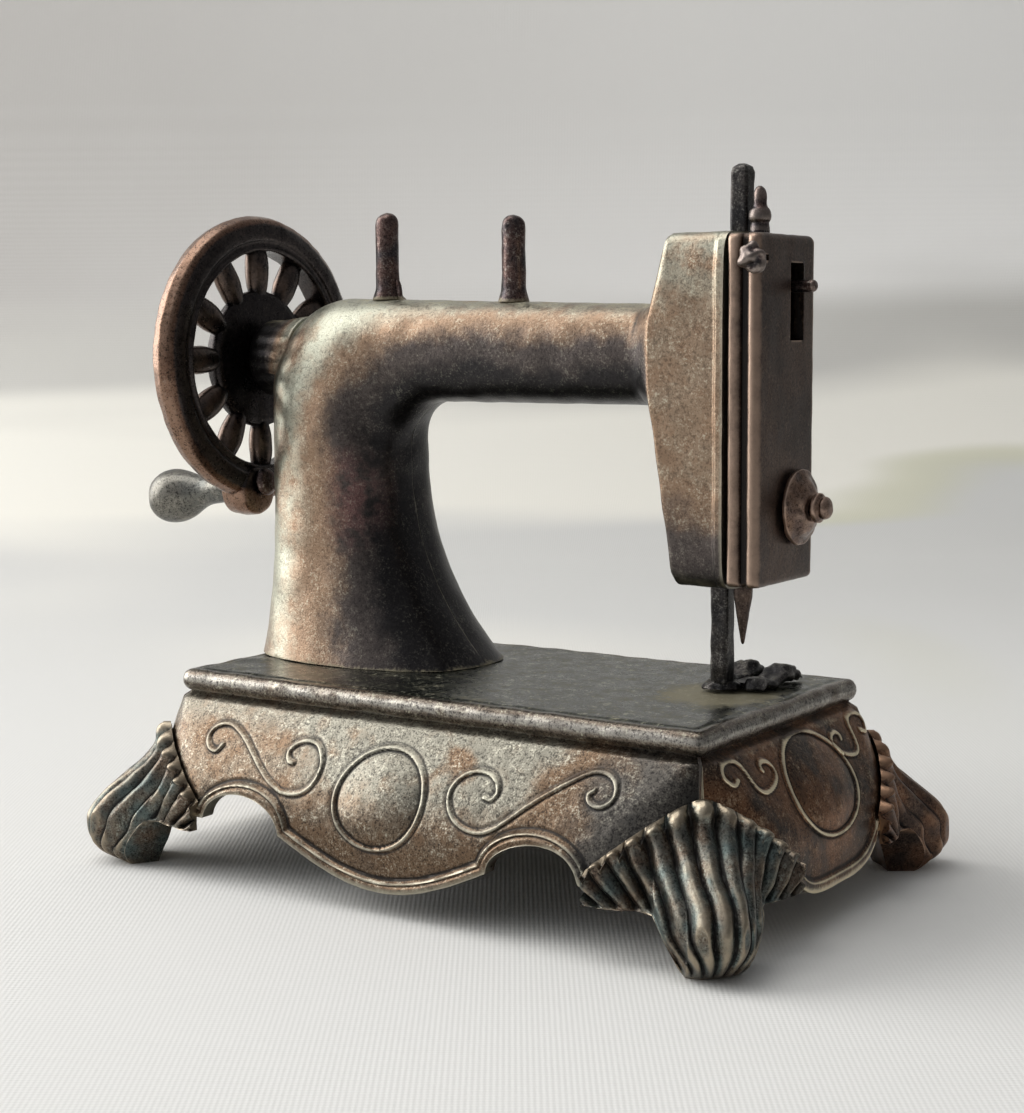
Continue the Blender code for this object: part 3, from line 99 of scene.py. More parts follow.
def make_mesh(name, points, faces, sharp=SHARP):
    """An object whose points are given in millimetres from the bed's middle.

    Edges that turn by more than sharp degrees stay sharp, and nearly equal points are welded.
    """
    place = np.asarray(points, float).reshape(-1, 3) * MM
    place[:, 0] += MIDDLE
    mesh = bpy.data.meshes.new(name)
    mesh.from_pydata(place.tolist(), [], faces)
    bm = bmesh.new()
    bm.from_mesh(mesh)
    bmesh.ops.remove_doubles(bm, verts=bm.verts, dist=WELD * MM)
    bmesh.ops.recalc_face_normals(bm, faces=bm.faces)
    bm.to_mesh(mesh)
    bm.free()
    mesh.shade_smooth()
    mesh.set_sharp_from_angle(angle=math.radians(sharp))
    obj = bpy.data.objects.new(name, mesh)
    bpy.context.scene.collection.objects.link(obj)
    return obj


def sheet(name, front, back):
    """A closed solid between a fine front grid and a back grid with as many columns."""
    rows, columns = front.shape[:2]
    back_rows = back.shape[0]
    start = rows * columns
    faces = grid_faces(rows, columns) + grid_faces(back_rows, columns, start=start)
    for row, other in ((0, 0), (rows - 1, back_rows - 1)):
        near, far = row * columns, start + other * columns
        faces += [[near + i, near + i + 1, far + i + 1, far + i] for i in range(columns - 1)]
    for column in (0, columns - 1):
        faces.append([row * columns + column for row in range(rows)]
                     + [start + row * columns + column for row in reversed(range(back_rows))])
    return make_mesh(name, np.concatenate([front.reshape(-1, 3), back.reshape(-1, 3)]), faces)


def loft(name, rings):
    """A closed solid through rings of equal length, capped at both ends."""
    rings = np.asarray(rings, float)
    rows, columns = rings.shape[:2]
    faces = grid_faces(rows, columns, closed=True)
    faces += [list(range(columns)), list(range((rows - 1) * columns, rows * columns))]
    return make_mesh(name, rings, faces)


# %% Outlines and turned pieces
def soften(profile, radius, steps=4):
    """Rounds the corners of an open outline with short curves."""
    profile = [np.asarray(point, float) for point in profile]
    soft = [profile[0]]
    for before, corner, after in zip(profile, profile[1:], profile[2:]):
        start, end = [corner + (far - corner) / max(np.linalg.norm(far - corner), 1e-9)
                      * min(radius, 0.45 * np.linalg.norm(far - corner)) for far in (before, after)]
        for t in np.linspace(0.0, 1.0, steps + 1):
            soft.append((1 - t) ** 2 * start + 2 * t * (1 - t) * corner + t * t * end)
    soft.append(profile[-1])
    return np.array(soft)


def turned(name, profile, matrix, steps=64, ring=False):
    """A turned solid: profile lists (radius, height) and matrix puts its axis in place."""
    profile = np.asarray(profile, float)
    turn = np.linspace(0.0, 2.0 * math.pi, steps, endpoint=False)
    points = np.stack([profile[:, :1] * np.cos(turn), profile[:, :1] * np.sin(turn),
                       np.repeat(profile[:, 1:], steps, axis=1)], -1)
    faces = grid_faces(len(profile), steps, closed=True)
    if ring:
        last = (len(profile) - 1) * steps
        faces += [[last + i, last + (i + 1) % steps, (i + 1) % steps, i] for i in range(steps)]
    matrix = np.array(matrix)
    points = points.reshape(-1, 3) @ matrix[:3, :3].T + matrix[:3, 3]
    return make_mesh(name, points, faces)


def along_x(x, y, z):
    """Lays a turned piece down, so that its top points towards the head."""
    return Matrix.Translation((x, y, z)) @ Matrix.Rotation(math.pi / 2, 4, "Y")


def upright(x, y):
    """Stands a turned piece on its axis."""
    return Matrix.Translation((x, y, 0.0))


# %% Joining and cutting
def rod(name, start, end, radius):
    """A plain round rod, for holes."""
    start, end = Vector(start), Vector(end)
    turn = (end - start).to_track_quat("Z", "Y").to_matrix().to_4x4()
    length = (end - start).length
    return turned(name, [(0, 0), (radius, 0), (radius, length), (0, length)],
                  Matrix.Translation(start) @ turn, 40)


def block(name, low, high):
    """A plain box, for cuts and plates."""
    corners = [(x, y, z) for x in (low[0], high[0]) for y in (low[1], high[1]) for z in (low[2], high[2])]
    faces = [(0, 1, 3, 2), (4, 6, 7, 5), (0, 4, 5, 1), (2, 3, 7, 6), (0, 2, 6, 4), (1, 5, 7, 3)]
    return make_mesh(name, corners, faces)


def applied(obj):
    """A plain mesh of the object with its modifiers, which are then removed."""
    graph = bpy.context.evaluated_depsgraph_get()
    mesh = bpy.data.meshes.new_from_object(obj.evaluated_get(graph))
    obj.modifiers.clear()
    return mesh


def combine(obj, operands, operation):
    """Joins or cuts with helper solids in turn, which are then removed.

    Where two faces lie in one plane, a cut can swallow nearly the whole piece. The helper
    then moves by a few microns and is tried again.
    """
    for operand in operands:
        before = len(obj.data.vertices)
        for _ in range(4):
            modifier = obj.modifiers.new(operand.name, "BOOLEAN")
            modifier.operation = operation
            modifier.solver = "EXACT"
            modifier.object = operand
            result = applied(obj)
            if len(result.vertices) > before / 5:
                break
            operand.location += Vector((0.004, 0.003, 0.0)) * MM
        obj.data = result
        bpy.data.objects.remove(operand)
    result.shade_smooth()
    result.set_sharp_from_angle(angle=math.radians(SHARP))
    return obj


def roughen(obj, amount, size, seed=0.0):
    """Moves each point a little along its normal, as a sand-textured mould would."""
    mesh = obj.data
    shift = Vector((seed, -seed, 2 * seed))
    moves = [vertex.normal * (amount * MM * noise.noise(vertex.co / (size * MM) + shift))
             for vertex in mesh.vertices]
    for vertex, move in zip(mesh.vertices, moves):
        vertex.co += move
    return obj


# %% [markdown]
# ## Where the plating wears, where the grime stays, and where light and shade are painted
# An antiqued casting is blackened all over and then rubbed, so its colour follows its
# shape: ridges shine and hollows stay dark. Each piece is smoothed in memory, and how
# far a point stands out of its smoothed self is kept in an attribute, "raised". A
# second one, "upward", says how much the surface faces the sky, where dust settles, and
# a third says where the black is rubbed off and, on the arm casting, the skirt and the
# bed's bead, where a painted highlight and painted shade fall.


# %% Wear attributes
def read_vectors(collection, name, width=3, kind=float):
    """One row of numbers for each vertex or edge."""
    values = np.empty(len(collection) * width, kind)
    collection.foreach_get(name, values)
    return values.reshape(-1, width)


def weather(obj, reach=0.6, plain=None, settled=None, handled=None):
    """Adds the three attributes; reach is how far, in millimetres, the smoothing spreads.

    The functions take points in millimetres: unrubbed places, dusty places, and the third attribute, which
    is rubbed wear on some pieces and painted highlight and shade on the arm, the skirt and the bed's bead.
    """
    mesh = obj.data
    count = len(mesh.vertices)
    place = read_vectors(mesh.vertices, "co") / MM
    normal = read_vectors(mesh.vertex_normals, "vector")
    a, b = read_vectors(mesh.edges, "vertices", 2, np.int32).T
    length = np.linalg.norm(place[a] - place[b], axis=1)
    weight = 1.0 / np.maximum(length, 0.02)
    total = np.bincount(a, weight, count) + np.bincount(b, weight, count)
    steps = int(np.clip(2.0 * (reach / np.median(length)) ** 2, 3, 60))
    smooth = place.copy()
    for _ in range(steps):
        around = [np.bincount(a, weight * smooth[b, k], count)
                  + np.bincount(b, weight * smooth[a, k], count) for k in range(3)]
        smooth = 0.5 * smooth + 0.5 * np.stack(around, 1) / total[:, None]
    raised = ((place - smooth) * normal).sum(1) / reach
    spacing = (np.bincount(a, length, count) + np.bincount(b, length, count)) / np.maximum(
        np.bincount(a, minlength=count) + np.bincount(b, minlength=count), 1)
    raised *= 1.0 - smoothstep(0.5, 1.2, spacing)
    upward = normal[:, 2].copy()
    place[:, 0] -= MIDDLE / MM
    if plain:
        raised *= 1.0 - plain(place)
    if settled:
        upward = np.maximum(upward, settled(place))
    wear_and_light_share = handled(place) if handled else np.ones(count)
    for name, values in (("raised", raised), ("upward", upward), ("handled", wear_and_light_share)):
        layer = mesh.attributes.new(name, "FLOAT", "POINT")
        layer.data.foreach_set("value", values.astype(np.float32))


# %% [markdown]
# A finished piece gets its material, rides on its body and takes the place of a node of
# the plain model. Its rough skin can stand a hair past the plain model's box, so such
# points are moved back first.


# %% Dressing a piece
def keep_inside(obj):
    """Moves the points that stand outside the plain model's box onto its sides."""
    place = read_vectors(obj.data.vertices, "co")
    place = np.clip(place, np.array(cad_box[0]), np.array(cad_box[1]))
    obj.data.vertices.foreach_set("co", place.ravel())
    obj.data.update()


def seldom(p):
    """For thin rods, which the smoothing would otherwise call raised all over."""
    return np.full(len(p), 0.75)


def dress(obj, body, material, slot, replaced, **places):
    """Gives a finished piece its finish and body, and hides the CAD node that it stands for. The slot
    argument is not used.
    """
    keep_inside(obj)
    weather(obj, **places)
    obj.data.materials.clear()
    obj.data.materials.append(material)
    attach(obj, body)
    if replaced:
        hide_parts(*replaced)
    print(f"{obj.name}: {len(obj.data.vertices)} points on {body}")
    return obj


# %% [markdown]
# ## Shader maths as Python
# A finish is written as sums of noise patterns. The class below wraps a socket, so
# that `0.3 + 0.4 * grain` adds the Math nodes by itself, and one method makes every
# other node: its settings first, then the values or links of its sockets.


# %% A socket with arithmetic
class Value:
    """An output socket of a finish, with arithmetic."""

    def __init__(self, finish, socket):
        self.finish = finish
        self.socket = socket

    def math(self, operation, first, second):
        return self.finish.node("ShaderNodeMath", {"operation": operation}, {0: first, 1: second})

    def sine(self):
        return self.finish.node("ShaderNodeMath", {"operation": "SINE"}, {0: self})

    def __add__(self, other):
        return self.math("ADD", self, other)

    __radd__ = __add__

    def __mul__(self, other):
        return self.math("MULTIPLY", self, other)

    __rmul__ = __mul__

    def __sub__(self, other):
        return self.math("SUBTRACT", self, other)

    def __rsub__(self, other):
        return self.math("SUBTRACT", other, self)

    def smooth(self, low, high):
        """0 below low, 1 above high, and a soft step between them."""
        return self.finish.node("ShaderNodeMapRange", {"interpolation_type": "SMOOTHSTEP"},
                                {0: self, 1: low, 2: high, 3: 0.0, 4: 1.0})


# %% A material under construction
class Finish:
    """Its Principled shader, and the nodes that feed it."""

    def __init__(self, name):
        self.material = bpy.data.materials.new(name)
        self.material.use_nodes = True
        self.tree = self.material.node_tree
        self.tree.nodes.clear()
        self.shader = self.tree.nodes.new("ShaderNodeBsdfPrincipled")
        end = self.tree.nodes.new("ShaderNodeOutputMaterial")
        self.tree.links.new(self.shader.outputs[0], end.inputs[0])
        self.where = self.node("ShaderNodeTexCoord", {}, {}, "Object")

    def node(self, kind, settings, sockets, output=0):
        node = self.tree.nodes.new(kind)
        for key, value in settings.items():
            setattr(node, key, value)
        for key, value in sockets.items():
            self.feed(node.inputs[key], value)
        return Value(self, node.outputs[output])

    def feed(self, socket, value):
        if isinstance(value, Value):
            self.tree.links.new(value.socket, socket)
        elif isinstance(value, tuple) and len(value) == 3 and socket.type == "RGBA":
            socket.default_value = (*value, 1.0)
        else:
            socket.default_value = value

    def noise(self, size, detail=3.0, roughness=0.55, stretch=(1.0, 1.0, 1.0), shift=0.0):
        """A noise pattern whose lumps are about size millimetres across."""
        scale = tuple(1.0 / (MM * size * s) for s in stretch)
        place = self.node("ShaderNodeMapping", {}, {"Vector": self.where, "Scale": scale,
                                                    "Location": (shift, 0.7 * shift, 1.3 * shift)})
        return self.node("ShaderNodeTexNoise", {}, {"Vector": place, "Scale": 1.0, "Detail": detail,
                                                    "Roughness": roughness})

    def attribute(self, name):
        return self.node("ShaderNodeAttribute", {"attribute_name": name}, {}, "Fac")

    def distance_from(self, point):
        return self.node("ShaderNodeVectorMath", {"operation": "DISTANCE"}, {0: self.where, 1: point}, 1)

    def along(self, x, y, z):
        """The place measured along a direction."""
        return self.node("ShaderNodeVectorMath", {"operation": "DOT_PRODUCT"},
                         {0: self.where, 1: (x, y, z)}, 1)

    def mix(self, share, a, b):
        """From colour a to colour b."""
        return self.node("ShaderNodeMix", {"data_type": "RGBA"}, {0: share, 6: a, 7: b}, 2)

    def bump(self, height, distance, strength):
        return self.node("ShaderNodeBump", {}, {"Strength": strength, "Distance": distance * MM,
                                                "Height": height})

    def finish(self, **sockets):
        """Feeds the shader; underscores stand for the spaces in a socket's name."""
        for key, value in sockets.items():
            self.feed(self.shader.inputs[key.replace("_", " ").title()], value)
        return self.material


# %% [markdown]
# ## The antiqued finish
# One recipe makes all the castings: a dark skin with broad patches of another tone,
# fine pale grain from the mould, bright metal where fingers rub, soot in the hollows
# and a little straw-coloured dust on what faces up. On some pieces it also paints a
# highlight and shade into the colour. Each piece passes its own colours.

# %% Antiqued metal
SOOT = (0.012, 0.011, 0.011)
DUST = (0.3, 0.265, 0.17)
METAL, GRIME = 0.95, 0.85


def add_patterns(f, patch_size, seed):
    """Four sizes of noise, which the layers of a finish share."""
    f.broad = f.noise(patch_size, 2.0, shift=seed)
    f.middle = f.noise(1.8, 4.0, 0.6, shift=seed + 5)
    f.grain = f.noise(0.42, 3.0, 0.65, shift=seed + 9)
    f.fine = f.noise(0.16, 1.0, 0.5, shift=seed + 13)
    f.tone = 0.7 * f.broad + 0.3 * f.middle


def colour_by_wear_and_light(f, skin, patch, fleck, dark, sheen_spot, streaks, seed):
    """The skin's colour and how much grain shows: black where the third attribute is low and pale where it
    is high, which on the arm, the skirt and the bed's bead is painted shade and a painted highlight.
    """
    wear_and_light_share = f.attribute("handled") + 0.4 * (f.broad - 0.5) + 0.3 * (f.middle - 0.5)
    colour = f.mix(wear_and_light_share.smooth(0.08, 0.3), dark[0], dark[1])
    # A painted sheen: a brighter purple-red patch round one place.
    if sheen_spot:
        point, radius, red = sheen_spot
        near = (1.0 - f.distance_from(point).smooth(0.25 * radius, radius)) * f.middle.smooth(0.35, 0.6)
        colour = f.mix(near, colour, red)
    colour = f.mix(wear_and_light_share.smooth(0.32, 0.6), colour, patch)
    colour = f.mix(wear_and_light_share.smooth(0.58, 0.84), colour, f.mix(f.tone.smooth(0.5, 0.66), skin, patch))
    if streaks:
        flaked = (0.65 * f.noise(0.9, 4.0, 0.7, shift=seed + 19) + 0.35 * f.grain).smooth(0.54, 0.62)
        colour = f.mix(flaked * (1.0 - wear_and_light_share.smooth(0.3, 0.5)) * streaks, colour, fleck)
    return colour, 0.3 + 0.7 * wear_and_light_share.smooth(0.2, 0.7)


def settled_dust(f, dust, place):
    """How much dust lies on what faces up, and more of it round a place."""
    amount = f.attribute("upward") + 0.55 * (f.grain - 0.5) + 0.6 * (f.middle - 0.5)
    if place:
        point, radius = place
        amount = amount + 0.45 * (1.0 - f.distance_from(point).smooth(0.2 * radius, radius)) - 0.12
    return amount.smooth(0.85, 1.2) * dust


def antiqued(name, skin, patch, rubbed, fleck, roughness, wear=0.6, dust=0.0, flecks=0.5,
             patch_size=9.0, grainy=1.0, pitted=0.7, keen=0.32, streaks=0.0, seed=0.0,
             place=None, dark=None, sheen_spot=None):
    """A bronze or copper finish from four colours: two of the skin, rubbed metal, pale grain.

    dark holds two blacker colours for where the third attribute is low, with flakes of the grain's
    colour as strong as streaks: painted shade on the arm's throat and the skirt's right-hand parts,
    and the real black of the bed's top and the wheel's hub. The sheen spot is a point, a radius and
    a colour, a painted sheen that shows there, and place is a point and a radius where more dust
    lies. A smaller keen rubs lower ridges.
    """
    f = Finish(name)
    add_patterns(f, patch_size, seed)
    raised = f.attribute("raised")
    shown = flecks * f.middle.smooth(0.3, 0.7)
    if dark:
        colour, grain_left = colour_by_wear_and_light(f, skin, patch, fleck, dark, sheen_spot, streaks, seed)
        shown = shown * grain_left
    else:
        colour = f.mix(f.tone.smooth(0.38, 0.62), skin, patch)
    sparks = (0.55 * f.grain + 0.45 * f.fine).smooth(0.52, 0.64)
    colour = f.mix(sparks * shown, colour, fleck)
    pits = (1.0 - (0.5 * f.grain + 0.5 * f.fine)).smooth(0.5, 0.62) * pitted
    colour = f.mix(pits, colour, SOOT)
    rub = (raised + 0.15 * (f.middle - 0.5) + 0.1 * (f.grain - 0.5)).smooth(0.15 * keen, keen) * wear
    colour = f.mix(rub, colour, rubbed)
    hollow = (0.0 - raised + 0.1 * (f.grain - 0.5)).smooth(0.02, 0.16) * GRIME
    colour = f.mix(hollow, colour, SOOT)
    matt = roughness + 0.2 * (f.middle - 0.5) + 0.25 * (f.grain - 0.5) + 0.25 * hollow
    shine = METAL - 0.35 * hollow
    if dust:
        settled = settled_dust(f, dust, place)
        colour = f.mix(settled, colour, DUST)
        matt = matt + 0.4 * settled
        shine = shine - METAL * settled
    rise = 0.6 * f.grain + 0.25 * f.fine + 0.15 * f.middle
    return f.finish(base_color=colour, roughness=matt, metallic=shine,
                    normal=f.bump(rise, 0.07 * grainy, 0.65))


# %% [markdown]
# The same bronze looks different on each part of the machine: the arm carries painted shade,
# black in its throat, and a pale painted highlight on its back; the skirt is rubbed pale and
# carries a painted highlight and painted shade; and the pins stay nearly black.
# So the colours below are written piece by piece, as scene-linear red, green and blue. A
# place on a piece is given in millimetres from the bed's middle, like every other size.


# %% Finishes of the pieces
def millimetres(x, y, z):
    """A place given from the bed's middle, in metres from the frame's origin."""
    return (x * MM + MIDDLE, y * MM, z * MM)


PRESSER_SPOT = millimetres(23.0, 0.4, 19.2)
# Where the column's painted sheen lies.
COLUMN_SHEEN = millimetres(-19.0, -4.5, 36.0)
# The arm's pale skin is its painted highlight and its dark pair its painted shade; the sheen spot paints a
# purple-red sheen on the column.
BODY = antiqued("body_bronze", (0.36, 0.36, 0.29), (0.245, 0.165, 0.11), (0.36, 0.33, 0.26),
                (0.6, 0.58, 0.46), 0.36, dust=0.8, wear=0.5, flecks=0.5, pitted=0.4, seed=3,
                dark=((0.03, 0.028, 0.029), (0.08, 0.067, 0.062)),
                sheen_spot=(COLUMN_SHEEN, 7.5 * MM, (0.17, 0.095, 0.09)))
# The skirt's pale skin is the painted highlight above each side panel's middle, and its dark pair the
# painted shade on the panel's right-hand part.
SKIRT = antiqued("skirt_bronze", (0.175, 0.165, 0.135), (0.14, 0.092, 0.058), (0.42, 0.4, 0.32),
                 (0.5, 0.48, 0.39), 0.34, patch_size=6.0, wear=0.75, flecks=0.7, seed=21,
                 dark=((0.045, 0.045, 0.043), (0.07, 0.064, 0.057)))
SKIRT_END = antiqued("end_bronze", (0.065, 0.048, 0.037), (0.21, 0.105, 0.056), (0.8, 0.7, 0.5),
                     (0.5, 0.38, 0.26), 0.36, flecks=0.6, wear=1.0, keen=0.2, patch_size=6.0, seed=35)
# The near pair's finish: its blue-green skin is a painted sheen. The far pair's darker, browner copy below
# is painted shade.
FOOT = antiqued("foot_bronze", (0.095, 0.118, 0.112), (0.13, 0.095, 0.07), (0.36, 0.3, 0.22),
                (0.36, 0.4, 0.35), 0.36, wear=0.8, patch_size=4.0, seed=41)
FOOT_SHADED = antiqued("shaded_foot_bronze", (0.07, 0.05, 0.042), (0.17, 0.09, 0.055), (0.36, 0.22, 0.14),
                      (0.3, 0.22, 0.16), 0.36, wear=0.8, patch_size=4.0, seed=45)
# Its silvery skin is the painted highlight along the bead's crest, its brown patch the rubbed bead, and its
# dark pair the top's own colour.
BED = antiqued("bed_bronze", (0.3, 0.28, 0.25), (0.12, 0.096, 0.076), (0.6, 0.56, 0.5),
               (0.6, 0.6, 0.47), 0.3, dust=0.7, flecks=0.6, wear=0.9, patch_size=5.0, streaks=0.5,
               dark=((0.03, 0.036, 0.028), (0.05, 0.056, 0.044)),
               place=(PRESSER_SPOT, 8.0 * MM), seed=55)
HEAD = antiqued("cover_copper", (0.065, 0.048, 0.041), (0.1, 0.068, 0.053), (0.36, 0.26, 0.2),
                (0.26, 0.2, 0.16), 0.38, flecks=0.4, dust=0.5, wear=0.9, grainy=0.7, pitted=0.5, seed=61)
WHEEL = antiqued("wheel_bronze", (0.24, 0.15, 0.105), (0.15, 0.085, 0.058), (0.34, 0.23, 0.17),
                 (0.28, 0.22, 0.18), 0.3, flecks=0.5, wear=0.6, patch_size=5.0, seed=77,
                 dark=((0.028, 0.024, 0.024), (0.05, 0.042, 0.04)))
BLACKED = antiqued("blackened", (0.05, 0.044, 0.047), (0.12, 0.075, 0.065), (0.3, 0.25, 0.22),
                   (0.38, 0.35, 0.31), 0.34, flecks=0.7, wear=0.6, dust=0.6, patch_size=2.5, seed=83)
PRESSER = antiqued("presser_black", (0.026, 0.025, 0.026), (0.06, 0.054, 0.05), (0.2, 0.19, 0.17),
                   (0.3, 0.29, 0.26), 0.36, flecks=0.5, wear=0.6, dust=0.3, patch_size=3.0, seed=85)
GRIP = antiqued("grip_black", (0.12, 0.122, 0.113), (0.17, 0.16, 0.138), (0.26, 0.25, 0.22),
                (0.36, 0.35, 0.3), 0.36, flecks=0.6, wear=0.4, seed=87, patch_size=4.0)
COPPER = antiqued("copper_plate", (0.12, 0.085, 0.073), (0.22, 0.14, 0.1), (0.5, 0.36, 0.28),
                  (0.42, 0.32, 0.25), 0.34, flecks=0.5, wear=0.7, grainy=0.9, patch_size=2.5, seed=91)
STEEL = antiqued("plain_steel", (0.2, 0.2, 0.2), (0.28, 0.27, 0.26), (0.5, 0.49, 0.47),
                 (0.4, 0.39, 0.37), 0.32, flecks=0.2, grainy=0.5, seed=95)
BRASS = antiqued("plain_brass", (0.3, 0.2, 0.08), (0.36, 0.26, 0.1), (0.6, 0.45, 0.2),
                 (0.45, 0.34, 0.15), 0.32, flecks=0.2, grainy=0.5, seed=99)
print("finishes:", len(bpy.data.materials))

# %% [markdown]
# ## The flared skirt
# Four panels spread from the bed like a bell. Each is a thick sheet whose outer side
# carries low relief: a rolled hem along the scallops, a domed medallion in its ring,
# and S-shaped scrolls. The relief is a height added to a fine grid of points, so the
# lines melt into the ground as cast ones do. A scroll is drawn as a short list of
# points in (round the panel, height), smoothed into a curve.

# %% Skirt surface
BED_LENGTH, BED_WIDTH, BED_TOP, BED_UNDER = 60.4, 31.8, 19.2, 17.4
SEAT_GAP = 0.3
SKIRT_TOP, SKIRT_WAIST, SKIRT_HEM, SKIRT_WALL, SKIRT_INSET = 17.1, 6.0, 6.2, 1.2, 0.15
FLARE_END, FLARE_SIDE, CORNER_TOP, CORNER_LOW = 5.2, 6.1, 0.8, 13.6


def skirt_section(z, inset=0.0):
    """Half length, half width and corner radius of the skirt at a height."""
    spread = np.sin(np.clip((SKIRT_TOP - z) / (SKIRT_TOP - SKIRT_WAIST), 0.0, 1.0) * math.pi / 2)
    return (BED_LENGTH / 2 - SKIRT_INSET + FLARE_END * spread - inset,
            BED_WIDTH / 2 - SKIRT_INSET + FLARE_SIDE * spread - inset,
            np.maximum(mix(CORNER_TOP, CORNER_LOW, spread) - inset, 0.15))


# %% Scalloped hems
LOBE_HALF, LOBE_LOW, ARCH_MIDDLE, ARCH_HALF, ARCH_LOW, ARCH_HIGH = 12.0, 2.2, 16.8, 4.8, 5.8, 8.9
END_LOW, END_HALF = 3.3, 9.0


def side_hem(x):
    """Height of a side's hem: a hanging lobe in the middle and an arch on each hand."""
    x = np.abs(x)
    lobe = mix(LOBE_LOW, ARCH_LOW, 1.0 - np.cos(np.clip(x / LOBE_HALF, 0, 1) * math.pi / 2))
    off = np.clip((x - ARCH_MIDDLE) / ARCH_HALF, -1.0, 1.0)
    arch = mix(ARCH_LOW, ARCH_HIGH, np.sqrt(1.0 - off * off))
    return np.where(x < LOBE_HALF, lobe, np.where(x < ARCH_MIDDLE + ARCH_HALF, arch, SKIRT_HEM))


def end_hem(y):
    """Height of an end's hem, which sags in the middle."""
    return mix(END_LOW, SKIRT_HEM, np.minimum(np.abs(y) / END_HALF, 1.0) ** 4)


# %% Lines of relief
def curve_through(points, steps=6):
    """A smooth line through points, by Catmull and Rom's rule."""
    points = np.asarray(points, float)
    padded = np.vstack([2 * points[0] - points[1], points, 2 * points[-1] - points[-2]])
    line = []
    for a, b, c, d in zip(padded, padded[1:], padded[2:], padded[3:]):
        for t in np.linspace(0.0, 1.0, steps, endpoint=False):
            line.append(0.5 * (2 * b + (c - a) * t + (2 * a - 5 * b + 4 * c - d) * t ** 2
                               + (3 * b - a - 3 * c + d) * t ** 3))
    line.append(points[-1])
    return np.array(line)


def distance_to(line, u, z):
    """Distance of each point (u, z) from a line of points."""
    best = np.full(u.shape, 1e9)
    near = ((u > line[:, 0].min() - 2) & (u < line[:, 0].max() + 2)
            & (z > line[:, 1].min() - 2) & (z < line[:, 1].max() + 2))
    place = np.stack([u[near], z[near]], -1)
    found = np.full(len(place), 1e9)
    for start, end in zip(line, line[1:]):
        run = end - start
        t = np.clip(((place - start) @ run) / (run @ run), 0.0, 1.0)
        found = np.minimum(found, np.linalg.norm(place - start - t[:, None] * run, axis=1))
    best[near] = found
    return best


def raised_line(distance, half_width, height, furrow=0.05):
    """A round bead over a line, with a fine furrow beside it."""
    bead = height * np.sqrt(np.clip(1.0 - (distance / half_width) ** 2, 0.0, 1.0))
    return bead - furrow * np.exp(-(((distance - half_width - 0.1) / 0.16) ** 2))


# %% [markdown]
# The two scrolls of a side are not quite mirror images, as a hand-cut mould makes them.
# The end panels have a smaller one on each hand of a wider medallion.

# %% Relief of the panels
SIDE_SCROLLS = (
    ((-21.4, 13.0), (-21.9, 12.4), (-22.85, 12.6), (-23.55, 13.4), (-23.35, 14.25), (-22.4, 14.75),
     (-21.2, 14.75), (-19.85, 14.25), (-18.5, 13.5), (-16.85, 12.35), (-15.25, 11.2), (-13.85, 10.35),
     (-12.6, 9.85), (-11.3, 9.7), (-10.05, 9.95), (-9.15, 10.55), (-8.65, 11.4), (-8.55, 12.4),
     (-9.0, 13.35), (-9.85, 14.1), (-10.85, 14.35), (-11.8, 14.25), (-12.6, 13.85), (-13.0, 13.2),
     (-12.6, 12.5), (-12.0, 12.35)),
    ((10.4, 12.0), (11.2, 11.9), (11.6, 12.5), (11.25, 13.2), (10.45, 13.75), (9.45, 13.95),
     (8.4, 13.85), (7.5, 13.45), (6.9, 12.8), (6.65, 12.1), (6.75, 11.3), (7.3, 10.4), (8.1, 9.7),
     (9.2, 9.25), (10.3, 9.1), (11.35, 9.25), (12.3, 9.7), (13.3, 10.4), (14.65, 11.5), (15.95, 12.5),
     (17.3, 13.4), (18.6, 14.2), (19.65, 14.8), (20.7, 15.15), (21.8, 15.1), (22.7, 14.7), (23.2, 14.0),
     (23.15, 13.25), (22.5, 12.7), (21.7, 12.6), (21.0, 12.85), (20.7, 13.4), (21.1, 13.75)))
END_SCROLL = ((-12.55, 14.8), (-13.5, 14.5), (-14.15, 14.95), (-14.3, 15.45), (-14.0, 15.95),
              (-13.25, 16.25), (-12.35, 16.3), (-11.55, 16.1), (-11.05, 15.75), (-10.8, 15.2),
              (-10.65, 14.5), (-10.4, 13.9), (-9.95, 13.45), (-9.2, 13.2), (-8.1, 13.3), (-7.0, 13.65),
              (-6.35, 14.05), (-6.15, 14.6), (-6.4, 15.1), (-6.95, 15.35), (-7.6, 15.4), (-8.1, 15.1),
              (-8.0, 14.75))


def medallion(u, z, centre, half_u, half_z):
    """A ring round a shallow dome."""
    off = np.sqrt(((u - centre[0]) / half_u) ** 2 + ((z - centre[1]) / half_z) ** 2)
    away = (off - 1.0) * 0.5 * (half_u + half_z)
    dome = 0.62 * np.clip(1.0 - (off / 0.93) ** 2, 0.0, 1.0) ** 0.75
    return dome + raised_line(np.abs(away), 0.26, 0.24)


def hem_line(hem, straight):
    """The hem as a line of points, a little longer than the panel."""
    u = np.linspace(-straight - 4.0, straight + 4.0, 240)
    return np.stack([u, hem(u)], -1)


def panel_relief(end, u, z, straight):
    """Height of the relief; an end's hem is worn flatter than a side's."""
    hem = end_hem if end else side_hem
    rolled = distance_to(hem_line(hem, straight), u, z)
    bold = 0.3 if end else 1.0
    height = 0.28 * (1.0 - smoothstep(0.85, 1.15, rolled))
    height += bold * raised_line(np.abs(rolled - 1.0), 0.24, 0.2, 0.1)
    height += 0.12 * bold * np.exp(-((rolled - 0.45) / 0.3) ** 2)
    if end:
        height += medallion(u, z, (0.8, 12.1), 6.1, 4.4)
        for hand in (1.0, -1.0):
            scroll = curve_through(END_SCROLL) * (hand, 1.0)
            height += raised_line(distance_to(scroll, u, z), 0.23, 0.22)
    else:
        height += medallion(u, z, (-0.95, 10.4), 5.0, 4.4)
        for points in SIDE_SCROLLS:
            height += raised_line(distance_to(curve_through(points), u, z), 0.24, 0.24)
    return height


